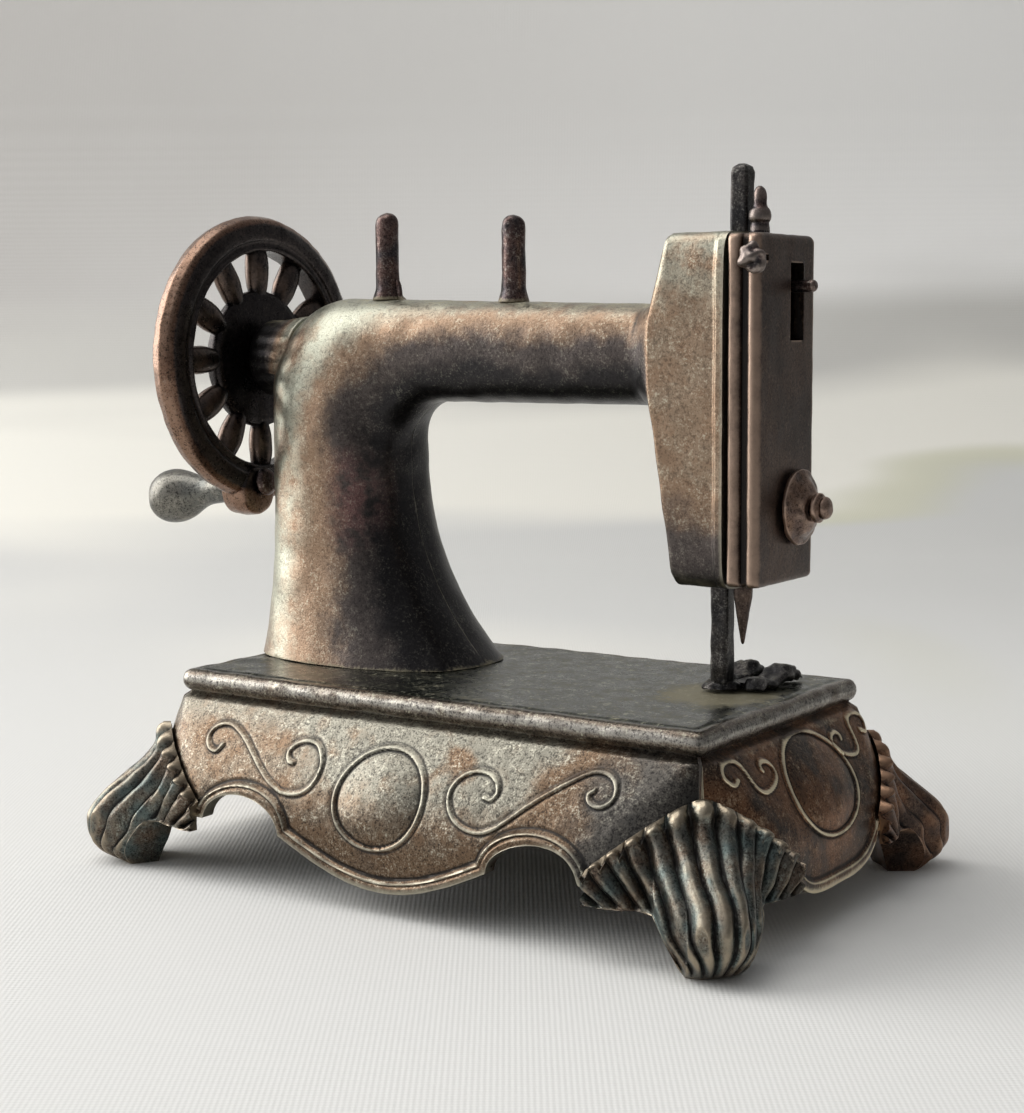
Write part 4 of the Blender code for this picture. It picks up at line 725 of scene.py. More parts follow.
# %% Panels
def panel_grid(end, inset, rows, fine, arc_columns, run_columns):
    """A panel's points, from the bed down to the hem; the fine side carries the relief.

    share runs along the straight part from -1 to 1, and arc from 0 to 1 into each corner.
    """
    half_x, half_y, radius = skirt_section(SKIRT_WAIST)
    straight = (half_y if end else half_x) - radius
    share = np.concatenate([np.full(arc_columns, -1.0), np.linspace(-1, 1, run_columns),
                            np.full(arc_columns, 1.0)])
    arc = np.linspace(1.0, 0.0, arc_columns, endpoint=False)
    arc = np.concatenate([arc, np.zeros(run_columns), arc[::-1]])
    hem = (end_hem if end else side_hem)(share * straight)
    hem = np.where(arc > 0, SKIRT_HEM, hem)
    down = np.linspace(0.0, 1.0, rows)[:, None]
    z = mix(BED_UNDER - 0.02, hem[None, :], down)
    half_x, half_y, radius = skirt_section(z, inset)
    near, far = (half_y, half_x) if end else (half_x, half_y)
    hand = np.sign(share)
    turn = arc * math.pi / 4
    along = share * (near - radius) + hand * (radius * np.sin(turn) - arc * SEAT_GAP * math.sqrt(0.5))
    out = far - radius + radius * np.cos(turn)
    u = share * (near - radius) + hand * radius * turn
    if fine:
        lift = panel_relief(end, u, z, straight)
        edge = np.minimum(down * rows / 3.0, 1.0)
        fade = 1.0 - smoothstep(0.9, 1.0, arc)
        lift = lift * edge * fade - 0.6 * smoothstep(16.35, 16.95, z)
        along = along + hand * lift * np.sin(turn)
        out = out + lift * np.cos(turn)
    return np.stack([out, along, z] if end else [along, -out, z], -1)


def panel_handled(x, z):
    """A painted highlight, silvery above the middle and lighter along the top, and painted shade, dark to
    the right; browner to the left and along the hem.
    """
    silver = smoothstep(8.0, 13.0, z) * smoothstep(-17.0, -5.0, x) * (1.0 - smoothstep(10.0, 22.0, x))
    return (0.66 + 0.2 * silver + 0.1 * smoothstep(14.0, 16.0, z) - 0.12 * (1.0 - smoothstep(4.0, 8.0, z))
            - 0.4 * smoothstep(12.0, 27.0, x))


def panel(name, end, turn, material):
    """One panel; turn sends it round to the opposite side."""
    arc_columns, run_columns = (40, 150) if end else (44, 340)
    front = panel_grid(end, 0.0, 110, True, arc_columns, run_columns)
    back = panel_grid(end, SKIRT_WALL, 6, False, arc_columns, run_columns)
    if turn:
        front[..., :2] *= -1.0
        back[..., :2] *= -1.0
    relief = roughen(sheet(f"{name}_relief", front, back), 0.035, 1.3, 4.0)
    dress(relief, "base", material, "skirt", [name],
          plain=lambda p: smoothstep(16.0, 16.6, p[:, 2]),
          handled=lambda p: panel_handled(-p[:, 0] if turn else p[:, 0], p[:, 2]))


panel("rear_side_panel", False, False, SKIRT)
panel("front_side_panel", False, True, SKIRT)
panel("head_end_panel", True, False, SKIRT_END)
panel("wheel_end_panel", True, True, SKIRT_END)

# %% [markdown]
# ## The bed
# A flat dark slab whose edge is a round bead, rubbed brown, with a painted highlight along
# its crest. A box with a bevel would give the slab but not the bead, so it is drawn as
# rounded rectangles that follow its section from the underside, round the bead and over
# the rim to the middle of the top.


# %% Closed outlines and holes
BODY_OFFSET = 2.0
SCREW_PLACES, SCREW_HOLE = (-26.6, -13.8), 1.2
BEAD_Z, BEAD_RADIUS = 18.05, 1.1


def even_loop(points, count):
    """Points spread evenly along a closed line."""
    loop = np.vstack([points, points[:1]])
    run = np.concatenate([[0.0], np.cumsum(np.linalg.norm(np.diff(loop, axis=0), axis=1))])
    at = np.linspace(0.0, run[-1], count, endpoint=False)
    return np.stack([np.interp(at, run, loop[:, k]) for k in range(loop.shape[1])], -1)


def rounded_rectangle(half_x, half_y, radius, count):
    """Points round a rectangle's edge, whose corners are quarter circles."""
    turn = np.linspace(0.0, math.pi / 2, 13)
    corner = np.stack([radius * np.cos(turn), radius * np.sin(turn)], -1)
    corners = []
    for quarter, (x, y) in enumerate(((1, 1), (-1, 1), (-1, -1), (1, -1))):
        c, s = round(math.cos(quarter * math.pi / 2)), round(math.sin(quarter * math.pi / 2))
        corners.append(corner @ np.array([[c, s], [-s, c]]) + (x * (half_x - radius), y * (half_y - radius)))
    return even_loop(np.concatenate(corners), count)


def drill(name, x, low, high, radius):
    """An upright rod on the arm's middle line, for a hole."""
    return rod(name, (x, BODY_OFFSET, low), (x, BODY_OFFSET, high), radius)


# %% Bed
def bed_handled(p):
    """0 on the flat top and up to 1 along the bead: the bead is rubbed brown, and the silvery band near its
    crest is a painted highlight.
    """
    inset = np.minimum(BED_LENGTH / 2 - np.abs(p[:, 0]), BED_WIDTH / 2 - np.abs(p[:, 1]))
    crest = 0.55 + 0.35 * np.exp(-((p[:, 2] - BEAD_Z - 0.3) / 0.45) ** 2)
    return crest * (1.0 - smoothstep(0.9, 2.1, inset))


def bed_plate():
    """The slab: its section lists (distance in from the edge, height)."""
    bead_depth = 0.95
    bead = [(bead_depth - bead_depth * math.cos(turn), BEAD_Z + BEAD_RADIUS * math.sin(turn))
            for turn in np.radians((-70, -45, -20, 0, 20, 45, 65, 85))]
    section = soften([(8.0, BED_UNDER), (bead_depth, BED_UNDER), (0.8, BEAD_Z - BEAD_RADIUS + 0.03)] + bead
                     + [(1.5, BED_TOP - 0.12), (1.9, BED_TOP), (3.0, BED_TOP), (8.0, BED_TOP)], 0.15)
    rings = []
    for inset, z in section:
        ring = rounded_rectangle(BED_LENGTH / 2 - inset, BED_WIDTH / 2 - inset, max(0.9 - inset, 0.25), 420)
        rings.append(np.column_stack([ring, np.full(len(ring), z)]))
    bed = loft("bed", rings)
    holes = [drill(f"bed_hole_{i}", x, BED_UNDER - 1, BED_TOP + 1, SCREW_HOLE)
             for i, x in enumerate(SCREW_PLACES)]
    combine(bed, holes, "DIFFERENCE")
    dress(roughen(bed, 0.1, 2.2, 3.0), "base", BED, "bed", ["bed_plate"], reach=1.1, handled=bed_handled)


bed_plate()

# %% [markdown]
# ## Four fluted feet
# Each foot is a shell of thirteen flutes that hugs the skirt's corner and swells into a
# toe. A grid across and down it is the natural way: across, a sine gives the flutes,
# and down, smooth steps give the sweep of the toe. The other three are mirrored, and
# the pair on the far side, which stands in shade, gets a darker, browner copy of the
# finish: painted shade.


# %% Shape of a foot
FLUTES, FOOT_TOP, FOOT_FALL, FOOT_WALL = 13, 13.9, 6.2, 0.9
WING_HALF, WING_LOW = 10.0, 4.9
LEG_HALF, LEG_SHARE, TOE_HALF, TOE_SHARE, TOE_REACH = 4.1, 0.41, 2.0, 0.48, 6.2
FAN_HALF, FAN_ROOT = math.radians(46.5), 4.0


def corner_points(s, z, outward):
    """Points near the skirt's corner; s is the distance round the wall from its middle."""
    half_x, half_y, radius = skirt_section(z)
    turn = math.pi / 4 + s / radius
    past_side = np.minimum(turn, 0.0) * radius
    past_end = np.maximum(turn - math.pi / 2, 0.0) * radius
    turn = np.clip(turn, 0.0, math.pi / 2)
    reach = radius + outward
    return np.stack([half_x - radius + reach * np.sin(turn) + past_side,
                     -(half_y - radius + reach * np.cos(turn)) + past_end, z + 0 * s], -1)


def flute_phase(s, z):
    """-1 to 1 across the shell: the flutes fan out from the leg and run down it to the toe."""
    fan = np.arctan2(s, z + FAN_ROOT) / FAN_HALF
    leg = s / (mix(2.2, LEG_HALF, smoothstep(0.5, 4.5, z)) * 1.88)
    return mix(leg, fan, smoothstep(3.0, 6.5, z))


def crest_at(phase):
    """0 in the furrows and 1 on the crests of the flutes."""
    return np.abs(np.sin(math.pi * FLUTES * (phase + 1.0) / 2))


def foot_outline(columns, rows, fluted):
    """Places round the wall and heights of a foot's grid, and how far across each column is."""
    v = np.linspace(-1.0, 1.0, columns)[None, :]
    t = np.linspace(0.0, 1.0, rows)[:, None]
    across, toe = np.abs(v), TOE_SHARE * LEG_SHARE
    drop = 1.0 - smoothstep(toe, LEG_SHARE, across)
    on_wing = mix(LEG_HALF, WING_HALF, (across - LEG_SHARE) / (1.0 - LEG_SHARE))
    on_leg = mix(LEG_HALF, TOE_HALF, drop) * np.minimum(1.0, across / toe)
    low_s = np.where(across > LEG_SHARE, on_wing, on_leg)
    low_z = np.where(across > LEG_SHARE, WING_LOW, mix(WING_LOW, 0.0, drop))
    top_z = FOOT_TOP - FOOT_FALL * across ** 1.3
    if fluted:
        top_z = top_z - 0.9 * (1.0 - crest_at(flute_phase(v * WING_HALF, top_z))) ** 1.5
    return mix(v * WING_HALF, np.sign(v) * low_s, t), mix(top_z, low_z, t), across, t


def foot_back(columns, rows):
    """The plain back, which turns in under the skirt's hem behind the leg."""
    s, z, across, _ = foot_outline(columns, rows, False)
    under = ((1.0 - smoothstep(WING_LOW, SKIRT_HEM - SEAT_GAP, z))
             * (1.0 - smoothstep(0.8 * LEG_SHARE, LEG_SHARE, across)))
    inside = mix(-0.9, 0.6, np.maximum(0.0, 1.0 - z / WING_LOW))
    return corner_points(s, z, mix(SEAT_GAP, inside, under))


def foot_front(columns, rows):
    """The fluted front, with its swollen toe; the flutes waver as hand-cut ones do."""
    s, z, across, t = foot_outline(columns, rows, True)
    wave = 0.009 * np.sin(0.8 * z + 1.1 * s) + 0.006 * np.sin(1.7 * z)
    crest = crest_at(flute_phase(s, z) + wave * smoothstep(0.3, 2.0, t * 6))
    sweep = 1.0 - smoothstep(0.1 * LEG_SHARE, 1.3 * LEG_SHARE, across)
    out = SEAT_GAP + FOOT_WALL
    out = out + TOE_REACH * sweep * (1.0 - smoothstep(4.3, 12.3, z))
    out = out - 3.6 * sweep * np.maximum(0.0, 1.0 - z / 4.3) ** 3
    depth = mix(0.65, 0.85, smoothstep(1.5, 6.0, z)) + 0.25 * sweep * smoothstep(4.0, 8.0, z)
    depth = depth * smoothstep(0.0, 1.2, z)
    out = out + 0.08 + depth * (crest ** 0.85 - 1.0) * (1.0 - smoothstep(0.94, 1.0, t))
    out = out + 0.25 * np.exp(-((t - 0.06) / 0.05) ** 2) * crest - 0.3 * np.exp(-(t / 0.015) ** 2)
    return corner_points(s, z, out)


# %% Feet
def foot(name, hand_x, hand_y, material=FOOT):
    front, back = foot_front(301, 120), foot_back(301, 7)
    shell = sheet(f"{name}_fluted", front * (hand_x, hand_y, 1.0), back * (hand_x, hand_y, 1.0))
    dress(roughen(shell, 0.09, 1.8, hand_x + 3 * hand_y), "base", material, "foot", [name])


foot("head_rear_foot", 1, 1)
foot("wheel_rear_foot", -1, 1)
foot("head_front_foot", 1, -1, FOOT_SHADED)
foot("wheel_front_foot", -1, -1, FOOT_SHADED)

# %% [markdown]
# ## The arm casting
# Column, elbow, arm and head are one hollow casting in two halves. A loft suits it: at
# each station a rounded section stands between an upper and a lower point, and the
# stations are softened so that no facet shows. A smaller loft inside is the core, which
# leaves a wall of 1 mm, and the halves meet at a thin seam.

# %% Stations along the arm
COLUMN_BACK, COLUMN_WIDTH, COLUMN_BASE, COLUMN_DEPTH = 29.7, 15.9, 19.5, 13.8
COLUMN_FLARE, COLUMN_FLARE_BACK, COLUMN_FOOT_DEPTH = 9.2, 1.8, 17.6
BEND_OUT, BEND_IN, ARM_DEPTH, FLANGE_STEP = 9.0, 5.0, 9.4, 0.25
ARM_BOTTOM, ARM_TOP, ARM_TAPER, ARM_START = 46.0, 56.5, 1.1, -20.7
HEAD_BACK, HEAD_FRONT, HEAD_LOW, HEAD_HIGH, HEAD_DEPTH = 17.6, 25.5, 29.6, 61.8, 11.6
SHAFT_Z, BOSS_END, WALL, WEB_HALF, POST_RADIUS = 50.3, 32.5, 1.0, 1.2, 2.1


def arm_top_at(x):
    """Height of the arm's top, which falls towards the head."""
    return ARM_TOP - ARM_TAPER * (x - ARM_START) / (HEAD_BACK - ARM_START)


def body_stations(wall, fine):
    """Upper x and z, lower x and z, half depth and squareness along the casting.

    They run up the column, round the elbow, along the arm and down the head. A wall makes
    them smaller for the core, which also runs a little past both open ends.
    """
    past = 0.5 if wall else 0.0
    back, waist = -COLUMN_BACK + wall, -COLUMN_BACK + COLUMN_WIDTH - wall
    high, low = ARM_TOP - wall, ARM_BOTTOM + wall
    head_high = high - ARM_TAPER
    bend_out, bend_in, spring = BEND_OUT - wall, BEND_IN + wall, ARM_BOTTOM - BEND_IN
    rows = []
    base = COLUMN_BASE - (0 if wall else 0.22)
    for share in np.linspace(0.0, 0.9, 30 if fine else 8) ** 1.3:
        z = mix(base, spring, share) - (past if share == 0 else 0)
        depth = mix(COLUMN_DEPTH, COLUMN_FOOT_DEPTH, (1 - share) ** 2.5)
        flare = COLUMN_FLARE * (1 - share) ** 2.3
        behind = COLUMN_FLARE_BACK * (1 - share) ** 3
        rows.append((back - behind, z, waist + flare, z, depth / 2 - wall, 2.6))
    for share in np.linspace(0.0, 1.0, 24 if fine else 7):
        turn = share * math.pi / 2
        depth = mix(COLUMN_DEPTH, ARM_DEPTH, float(smoothstep(-0.2, 1.2, share)))
        rows.append((back + bend_out * (1 - math.cos(turn)), high - bend_out * (1 - math.sin(turn)),
                     waist + bend_in * (1 - math.cos(turn)), spring + bend_in * math.sin(turn),
                     depth / 2 - wall, mix(2.6, 2.3, share)))
    for share in (0.42, 0.7, 0.95):
        x = mix(ARM_START, HEAD_BACK, share)
        rows.append((x, mix(high, head_high, share), x, low, ARM_DEPTH / 2 - wall, 2.4))
    half, head = HEAD_DEPTH / 2 - wall, HEAD_BACK + wall
    for lean, square in ((0.0, 7.0), (0.5, 9.0), (1.0, 10.0)):
        rows.append((head + 1.6 * lean, mix(head_high, HEAD_HIGH - wall, lean),
                     head + 2.5 * lean, mix(low, HEAD_LOW + wall, lean), half, square))
    flange, tops = HEAD_FRONT - 1.0, (HEAD_HIGH - wall, HEAD_LOW + wall)
    rows.append((flange, tops[0], flange, tops[1], half, 10.0))
    if not wall:
        half += FLANGE_STEP
        rows.append((flange + 0.2, tops[0], flange + 0.2, tops[1], half, 10.0))
    rows.append((HEAD_FRONT + past, tops[0], HEAD_FRONT + past, tops[1], half, 10.0))
    return np.array(rows)


def spread_stations(rows, step):
    """Softens the corners between stations and spaces them evenly."""
    rows = soften(rows, 0.45, 4)
    run = np.concatenate([[0.0], np.cumsum(np.abs(np.diff(rows[:, :5], axis=0)).max(axis=1))])
    at = np.linspace(0.0, run[-1], int(run[-1] / step) + 1)
    at = np.unique(np.concatenate([at, run[-12:]]))
    return np.stack([np.interp(at, run, rows[:, k]) for k in range(rows.shape[1])], -1)


def section_ring(row, count):
    """A rounded section at a station; more squareness gives tighter corners."""
    upper, lower = np.array([row[0], row[1]]), np.array([row[2], row[3]])
    depth, square = row[4], row[5]
    turn = np.linspace(0.0, 2 * math.pi, 240, endpoint=False) + math.pi / 240
    up = np.sign(np.cos(turn)) * np.abs(np.cos(turn)) ** (2.0 / square)
    across = np.sign(np.sin(turn)) * np.abs(np.sin(turn)) ** (2.0 / square)
    middle, arm = (upper + lower) / 2, (upper - lower) / 2
    ring = np.stack([middle[0] + arm[0] * up, BODY_OFFSET + depth * across, middle[1] + arm[1] * up], -1)
    return even_loop(ring, count)


# %% Outside, core and holes of the casting
PIN_PLACES, PIN_HOLE, BEARING = (-16.6, -0.9), 1.0, 2.1
PRESSER_X, PRESSER_TOP_X, PRESSER_Y, PRESSER_HALF = 22.15, 23.95, 2.6, 0.875
NEEDLE_X, POST_X, NEEDLE_RADIUS, NEEDLE_HOLE = 24.6, 26.05, 0.9, 1.2


def body_outer(name):
    """The outside, with the shaft's bearing boss behind the column."""
    rings = [section_ring(row, 150) for row in spread_stations(body_stations(0.0, True), 0.6)]
    shell = loft(name, rings)
    profile = soften([(0, 0), (3.7, 0), (4.1, 0.3), (4.1, 2.0), (4.5, 5.8), (0, 5.8)], 0.3)
    boss = turned(f"{name}_boss", profile, along_x(-BOSS_END, BODY_OFFSET, SHAFT_Z), 72)
    return combine(shell, [boss], "UNION")


def body_core(name):
    """The hollow inside, less a web and the two posts that take the column's screws."""
    core = loft(name, [section_ring(row, 60) for row in body_stations(WALL, False)])
    low, high = COLUMN_BASE - 1.0, COLUMN_BASE + 5.5
    web = block(f"{name}_web", (-40, BODY_OFFSET - WEB_HALF, low - 1),
                (SCREW_PLACES[1], BODY_OFFSET + WEB_HALF, high - SEAT_GAP))
    posts = [drill(f"{name}_post_{i}", x, low - 1.5, high, POST_RADIUS)
             for i, x in enumerate(SCREW_PLACES)]
    return combine(core, [web] + posts, "DIFFERENCE")


def body_holes(name):
    """Openings for the shaft, the spool pins, the screws and the two bars."""
    holes = [rod(f"{name}_bearing", (-BOSS_END - 1, BODY_OFFSET, SHAFT_Z),
                 (-COLUMN_BACK + 4, BODY_OFFSET, SHAFT_Z), BEARING)]
    for i, x in enumerate(PIN_PLACES):
        top = arm_top_at(x)
        holes.append(drill(f"{name}_pin_{i}", x, top - 2, top + 1, PIN_HOLE))
    for i, x in enumerate(SCREW_PLACES):
        holes.append(drill(f"{name}_screw_{i}", x, COLUMN_BASE - 1, COLUMN_BASE + 6, SCREW_HOLE))
    room = PRESSER_HALF + SEAT_GAP
    for i, (x, z) in enumerate(((PRESSER_X, HEAD_LOW), (PRESSER_TOP_X, HEAD_HIGH))):
        holes.append(block(f"{name}_presser_{i}", (x - room, PRESSER_Y - room, z - 2),
                           (x + room, PRESSER_Y + room, z + 2)))
    for i, (x, z) in enumerate(((NEEDLE_X, HEAD_LOW), (POST_X, HEAD_HIGH))):
        holes.append(drill(f"{name}_needle_{i}", x, z - 2, z + 2, NEEDLE_HOLE))
    return holes


# %% Wear, dust, and painted light and shade on the arm
def on_boss(p):
    """1 on the shaft's bearing boss behind the column."""
    off_axis = np.hypot(p[:, 1] - BODY_OFFSET, p[:, 2] - SHAFT_Z)
    return np.where((off_axis < 4.9) & (p[:, 0] < -28.6), 1.0, 0.0)


def body_handled(p):
    """Painted highlight and shade: 1, pale, along the casting's outer back and top, where the lamp's
    highlight falls, and 0, black, along its throat, which stands in shade. The arm is painted a little
    darker than the column, the column's outermost back edge and its foot darker still, the bearing boss
    black, and the head lighter at its top and darker at its bottom.
    """
    x, z = p[:, 0], p[:, 2]
    bend_x, bend_z, waist = -8.8, ARM_BOTTOM - BEND_IN, COLUMN_BACK - COLUMN_WIDTH
    flare = COLUMN_FLARE * (1.0 - np.clip((z - COLUMN_BASE) / (bend_z - COLUMN_BASE), 0, 1)) ** 2.3
    bend = np.clip(np.arctan2(z - bend_z, -(x - bend_x)) / (math.pi / 2), 0, 1)
    round_bend = np.hypot(x - bend_x, z - bend_z) - BEND_IN
    depth = np.where(z < bend_z, flare - waist - x, np.where(x > bend_x, z - ARM_BOTTOM, round_bend))
    width = np.where(z < bend_z, COLUMN_WIDTH + 0.7 * flare, mix(COLUMN_WIDTH, 10.3, bend))
    zone = depth / width
    zone = (zone + mix(0.1, -0.17, bend)) * (1.0 - 0.35 * smoothstep(0.85, 1.2, zone) * (1.0 - bend))
    zone = (zone - 0.24 * (1.0 - smoothstep(21.0, 36.0, z))) * (1.0 - on_boss(p))
    head = 0.62 + 0.2 * smoothstep(53.0, 62.0, z) - 0.38 * (1.0 - smoothstep(30.0, 40.0, z))
    return mix(zone, head, smoothstep(16.8, 17.8, x))


# %% Arm casting
SEAM_HALF = 0.02


def arm_casting():
    """Both halves, each cut from the whole by a block that stands on the seam."""
    whole = combine(body_outer("arm"), [body_core("arm_core")], "DIFFERENCE")
    combine(whole, body_holes("arm_hole"), "DIFFERENCE")
    for name, hand in (("body_shell_rear", -1), ("body_shell_front", 1)):
        half = whole.copy()
        half.name = f"{name}_cast"
        half.data = whole.data.copy()
        bpy.context.scene.collection.objects.link(half)
        edge = BODY_OFFSET + hand * SEAM_HALF
        low, high = sorted((edge, edge - hand * 40))
        combine(half, [block(f"{name}_split", (-40, low, 0), (40, high, 80))], "DIFFERENCE")
        dress(roughen(half, 0.1, 2.6, 7.0), "base", BODY, "body", [name],
              plain=lambda p: np.maximum(1.0 - smoothstep(20.0, 20.8, p[:, 2]), on_boss(p)),
              settled=lambda p: 1.05 - smoothstep(19.4, 20.6, p[:, 2]), handled=body_handled)
    bpy.data.objects.remove(whole)


arm_casting()

# %% [markdown]
# ## The face cover
# The end of the head is closed by a cover with a bead down each side, a groove beside
# it, and an open slot for the take-up lever. Its plan is one outline, lofted upwards
# with drawn-in ends, and the openings are cut through it.

# %% Face cover
COVER_BACK, COVER_FRONT, COVER_LOW, COVER_HIGH, COVER_BEAD = 25.8, 28.9, 30.0, 61.5, 0.65
SLOT_Y, SLOT_HALF, SLOT_LOW, SLOT_HIGH = 3.9, 1.35, 52.0, 59.0
TENSION_Z, STUD_HOLE, COVER_RIVET_X, COVER_RIVET_Z, RIVET_HOLE = 36.8, 1.0, 28.25, 59.3, 0.7


def cover_plan():
    """The cover seen from above: a bead down each side, and nearly square at the back."""
    half = HEAD_DEPTH / 2
    side = [(COVER_BACK, half - COVER_BEAD)]
    for middle, start in ((COVER_BACK + COVER_BEAD, 2), (COVER_FRONT - COVER_BEAD, 0)):
        for step in range(start, 13):
            turn = math.pi * (1.0 - step / 12)
            square = 0.45 if start and step < 6 else 1.0
            side.append((middle + COVER_BEAD * math.copysign(abs(math.cos(turn)) ** square, math.cos(turn)),
                         half - COVER_BEAD + COVER_BEAD * math.sin(turn) ** square))
    plan = side + [(x, -y) for x, y in reversed(side)]
    return even_loop(np.array(plan), 150)


def face_cover():
    """The cover is rounded by 0.7 mm at its top and 0.5 mm at its foot."""
    plan, half, rings, top_round, low_round = cover_plan(), HEAD_DEPTH / 2, [], 0.7, 0.5
    corner = [(1.0 - math.sin(t), 1.0 - math.cos(t)) for t in np.linspace(0.05, math.pi / 2, 7)]
    heights = [(COVER_HIGH - top_round * rise, top_round * inset) for inset, rise in corner]
    heights += [(z, 0.0) for z in np.linspace(COVER_HIGH - 1.2, COVER_LOW + 0.9, 56)]
    heights += [(COVER_LOW + low_round * rise, low_round * inset) for inset, rise in reversed(corner)]
    for z, inset in heights:
        x = COVER_BACK + (plan[:, 0] - COVER_BACK) * (1.0 - 0.6 * inset / (COVER_FRONT - COVER_BACK))
        rings.append(np.stack([x, BODY_OFFSET + plan[:, 1] * (1.0 - inset / half), np.full(len(x), z)], -1))
    cover = loft("cover", rings)
    inside = half - 2 * COVER_BEAD - 0.5
    cuts = [block("cover_hollow", (COVER_BACK - 1, BODY_OFFSET - inside, COVER_LOW + 1),
                  (COVER_FRONT - 1, BODY_OFFSET + inside, COVER_HIGH - 1)),
            block("cover_slot", (COVER_BACK, SLOT_Y - SLOT_HALF, SLOT_LOW),
                  (COVER_FRONT + 1, SLOT_Y + SLOT_HALF, SLOT_HIGH)),
            drill("cover_post_hole", POST_X, COVER_HIGH - 2, COVER_HIGH + 1, NEEDLE_HOLE),
            rod("cover_stud_hole", (COVER_FRONT - 2, SLOT_Y, TENSION_Z),
                (COVER_FRONT + 1, SLOT_Y, TENSION_Z), STUD_HOLE),
            rod("cover_rivet_hole", (COVER_RIVET_X, BODY_OFFSET - half - 1, COVER_RIVET_Z),
                (COVER_RIVET_X, BODY_OFFSET - half + 2, COVER_RIVET_Z), RIVET_HOLE)]
    combine(cover, cuts, "DIFFERENCE")
    dress(roughen(cover, 0.03, 1.6, 5.0), "base", HEAD, "cover", ["face_cover"])


face_cover()

# %% [markdown]
# Small turned pieces dress the cover and the arm: a peened rivet, the domed tension
# disc with its knob, and two spool pins. A profile spun round an axis makes each.


# %% Cover rivet
def cover_rivet():
    """The blob of a peened head, which stands out towards the near side."""
    place = Matrix.Translation((COVER_RIVET_X + 0.1, BODY_OFFSET - 6.2, COVER_RIVET_Z))
    profile = [(0, 0.85), (0.6, 0.78), (1.05, 0.45), (1.25, 0.0), (1.1, -0.3), (0.4, -0.4),
               (0.4, -1.4), (0, -1.4)]
    blob = turned("rivet_blob", soften(profile, 0.2), place @ Matrix.Rotation(math.pi / 2, 4, "X"), 40)
    dress(roughen(blob, 0.55, 0.9, 2.0), "base", BLACKED, "cover_rivet", ["cover_rivet"])


cover_rivet()


# %% Tension disc and knob
def tension():
    """The domed disc and, past it, the knob on its stud."""
    height = 1.5
    profile = [(1.0, 0.0), (3.5, 0.0), (3.5, 0.42), (3.3, 0.5), (2.85, 0.62), (2.2, 1.2),
               (1.5, height), (1.0, height)]
    seat = along_x(COVER_FRONT + SEAT_GAP, SLOT_Y, TENSION_Z)
    disc = turned("disc", soften(profile, 0.2), seat, 96, ring=True)
    dress(roughen(disc, 0.1, 1.0, 4.0), "base", COPPER, "tension_disc", ["tension_disc"])
    shoulder = COVER_FRONT + height + 2 * SEAT_GAP
    stud = COVER_FRONT - 1.3 - shoulder
    profile = [(0, 1.5), (0.6, 1.43), (0.98, 1.2), (1.12, 0.9), (0.98, 0.67), (1.4, 0.45),
               (1.4, 0), (0.7, 0), (0.7, stud), (0, stud)]
    knob = turned("knob", soften(profile, 0.15), along_x(shoulder, SLOT_Y, TENSION_Z), 64)
    dress(roughen(knob, 0.08, 0.8, 6.0), "base", COPPER, "tension_knob", ["tension_knob"])


tension()


# %% Spool pins
def pin_fin(x, seat):
    """The thin web of flash that the mould left beside the column's pin."""
    outline = ((0.9, 0.0), (2.3, 0.0), (1.75, 0.45), (1.6, 1.5), (1.15, 2.4), (0.9, 2.4))
    points = [(x + side, BODY_OFFSET + thick, seat + up) for thick in (-0.22, 0.22) for side, up in outline]
    count = len(outline)
    faces = [tuple(reversed(range(count))), tuple(range(count, 2 * count))]
    faces += [(i, (i + 1) % count, (i + 1) % count + count, i + count) for i in range(count)]
    return make_mesh("pin_fin", points, faces)


def spool_pin(name, x, top, fin=False):
    """A pin with a rounded top and a flared foot; its stem goes into the arm."""
    seat = arm_top_at(x) - 0.1
    profile = [(0, top), (0.65, top - 0.16), (1.05, top - 0.6), (1.16, top - 1.3), (1.18, top - 3),
               (1.18, seat + 3), (1.2, seat + 1.3), (1.5, seat + 0.35), (1.6, seat), (0.7, seat),
               (0.7, seat - 1.2), (0, seat - 1.2)]
    pin = turned(f"{name}_cast", soften(profile, 0.3), upright(x, BODY_OFFSET), 40)
    if fin:
        combine(pin, [pin_fin(x, seat)], "UNION")
    dress(roughen(pin, 0.1, 1.3, x), "base", BLACKED, "spool_pin", [name], plain=seldom,
          settled=lambda p: 1.1 - smoothstep(seat + 0.2, seat + 1.1, p[:, 2]))


spool_pin("spool_pin_column", PIN_PLACES[0], 65.2, fin=True)
spool_pin("spool_pin_arm", PIN_PLACES[1], 64.4)

# %% [markdown]
# ## The handwheel
# Twelve equal spokes are a job for Geometry Nodes: one barrel-shaped spoke is made, and
# the tree sets a copy at each step round the shaft. Rim, hub and the boss for the
# crank's rivet are turned and joined to the spokes, as they are one casting.


# %% Spokes
SPOKES, WHEEL_FACE = 12, 32.9


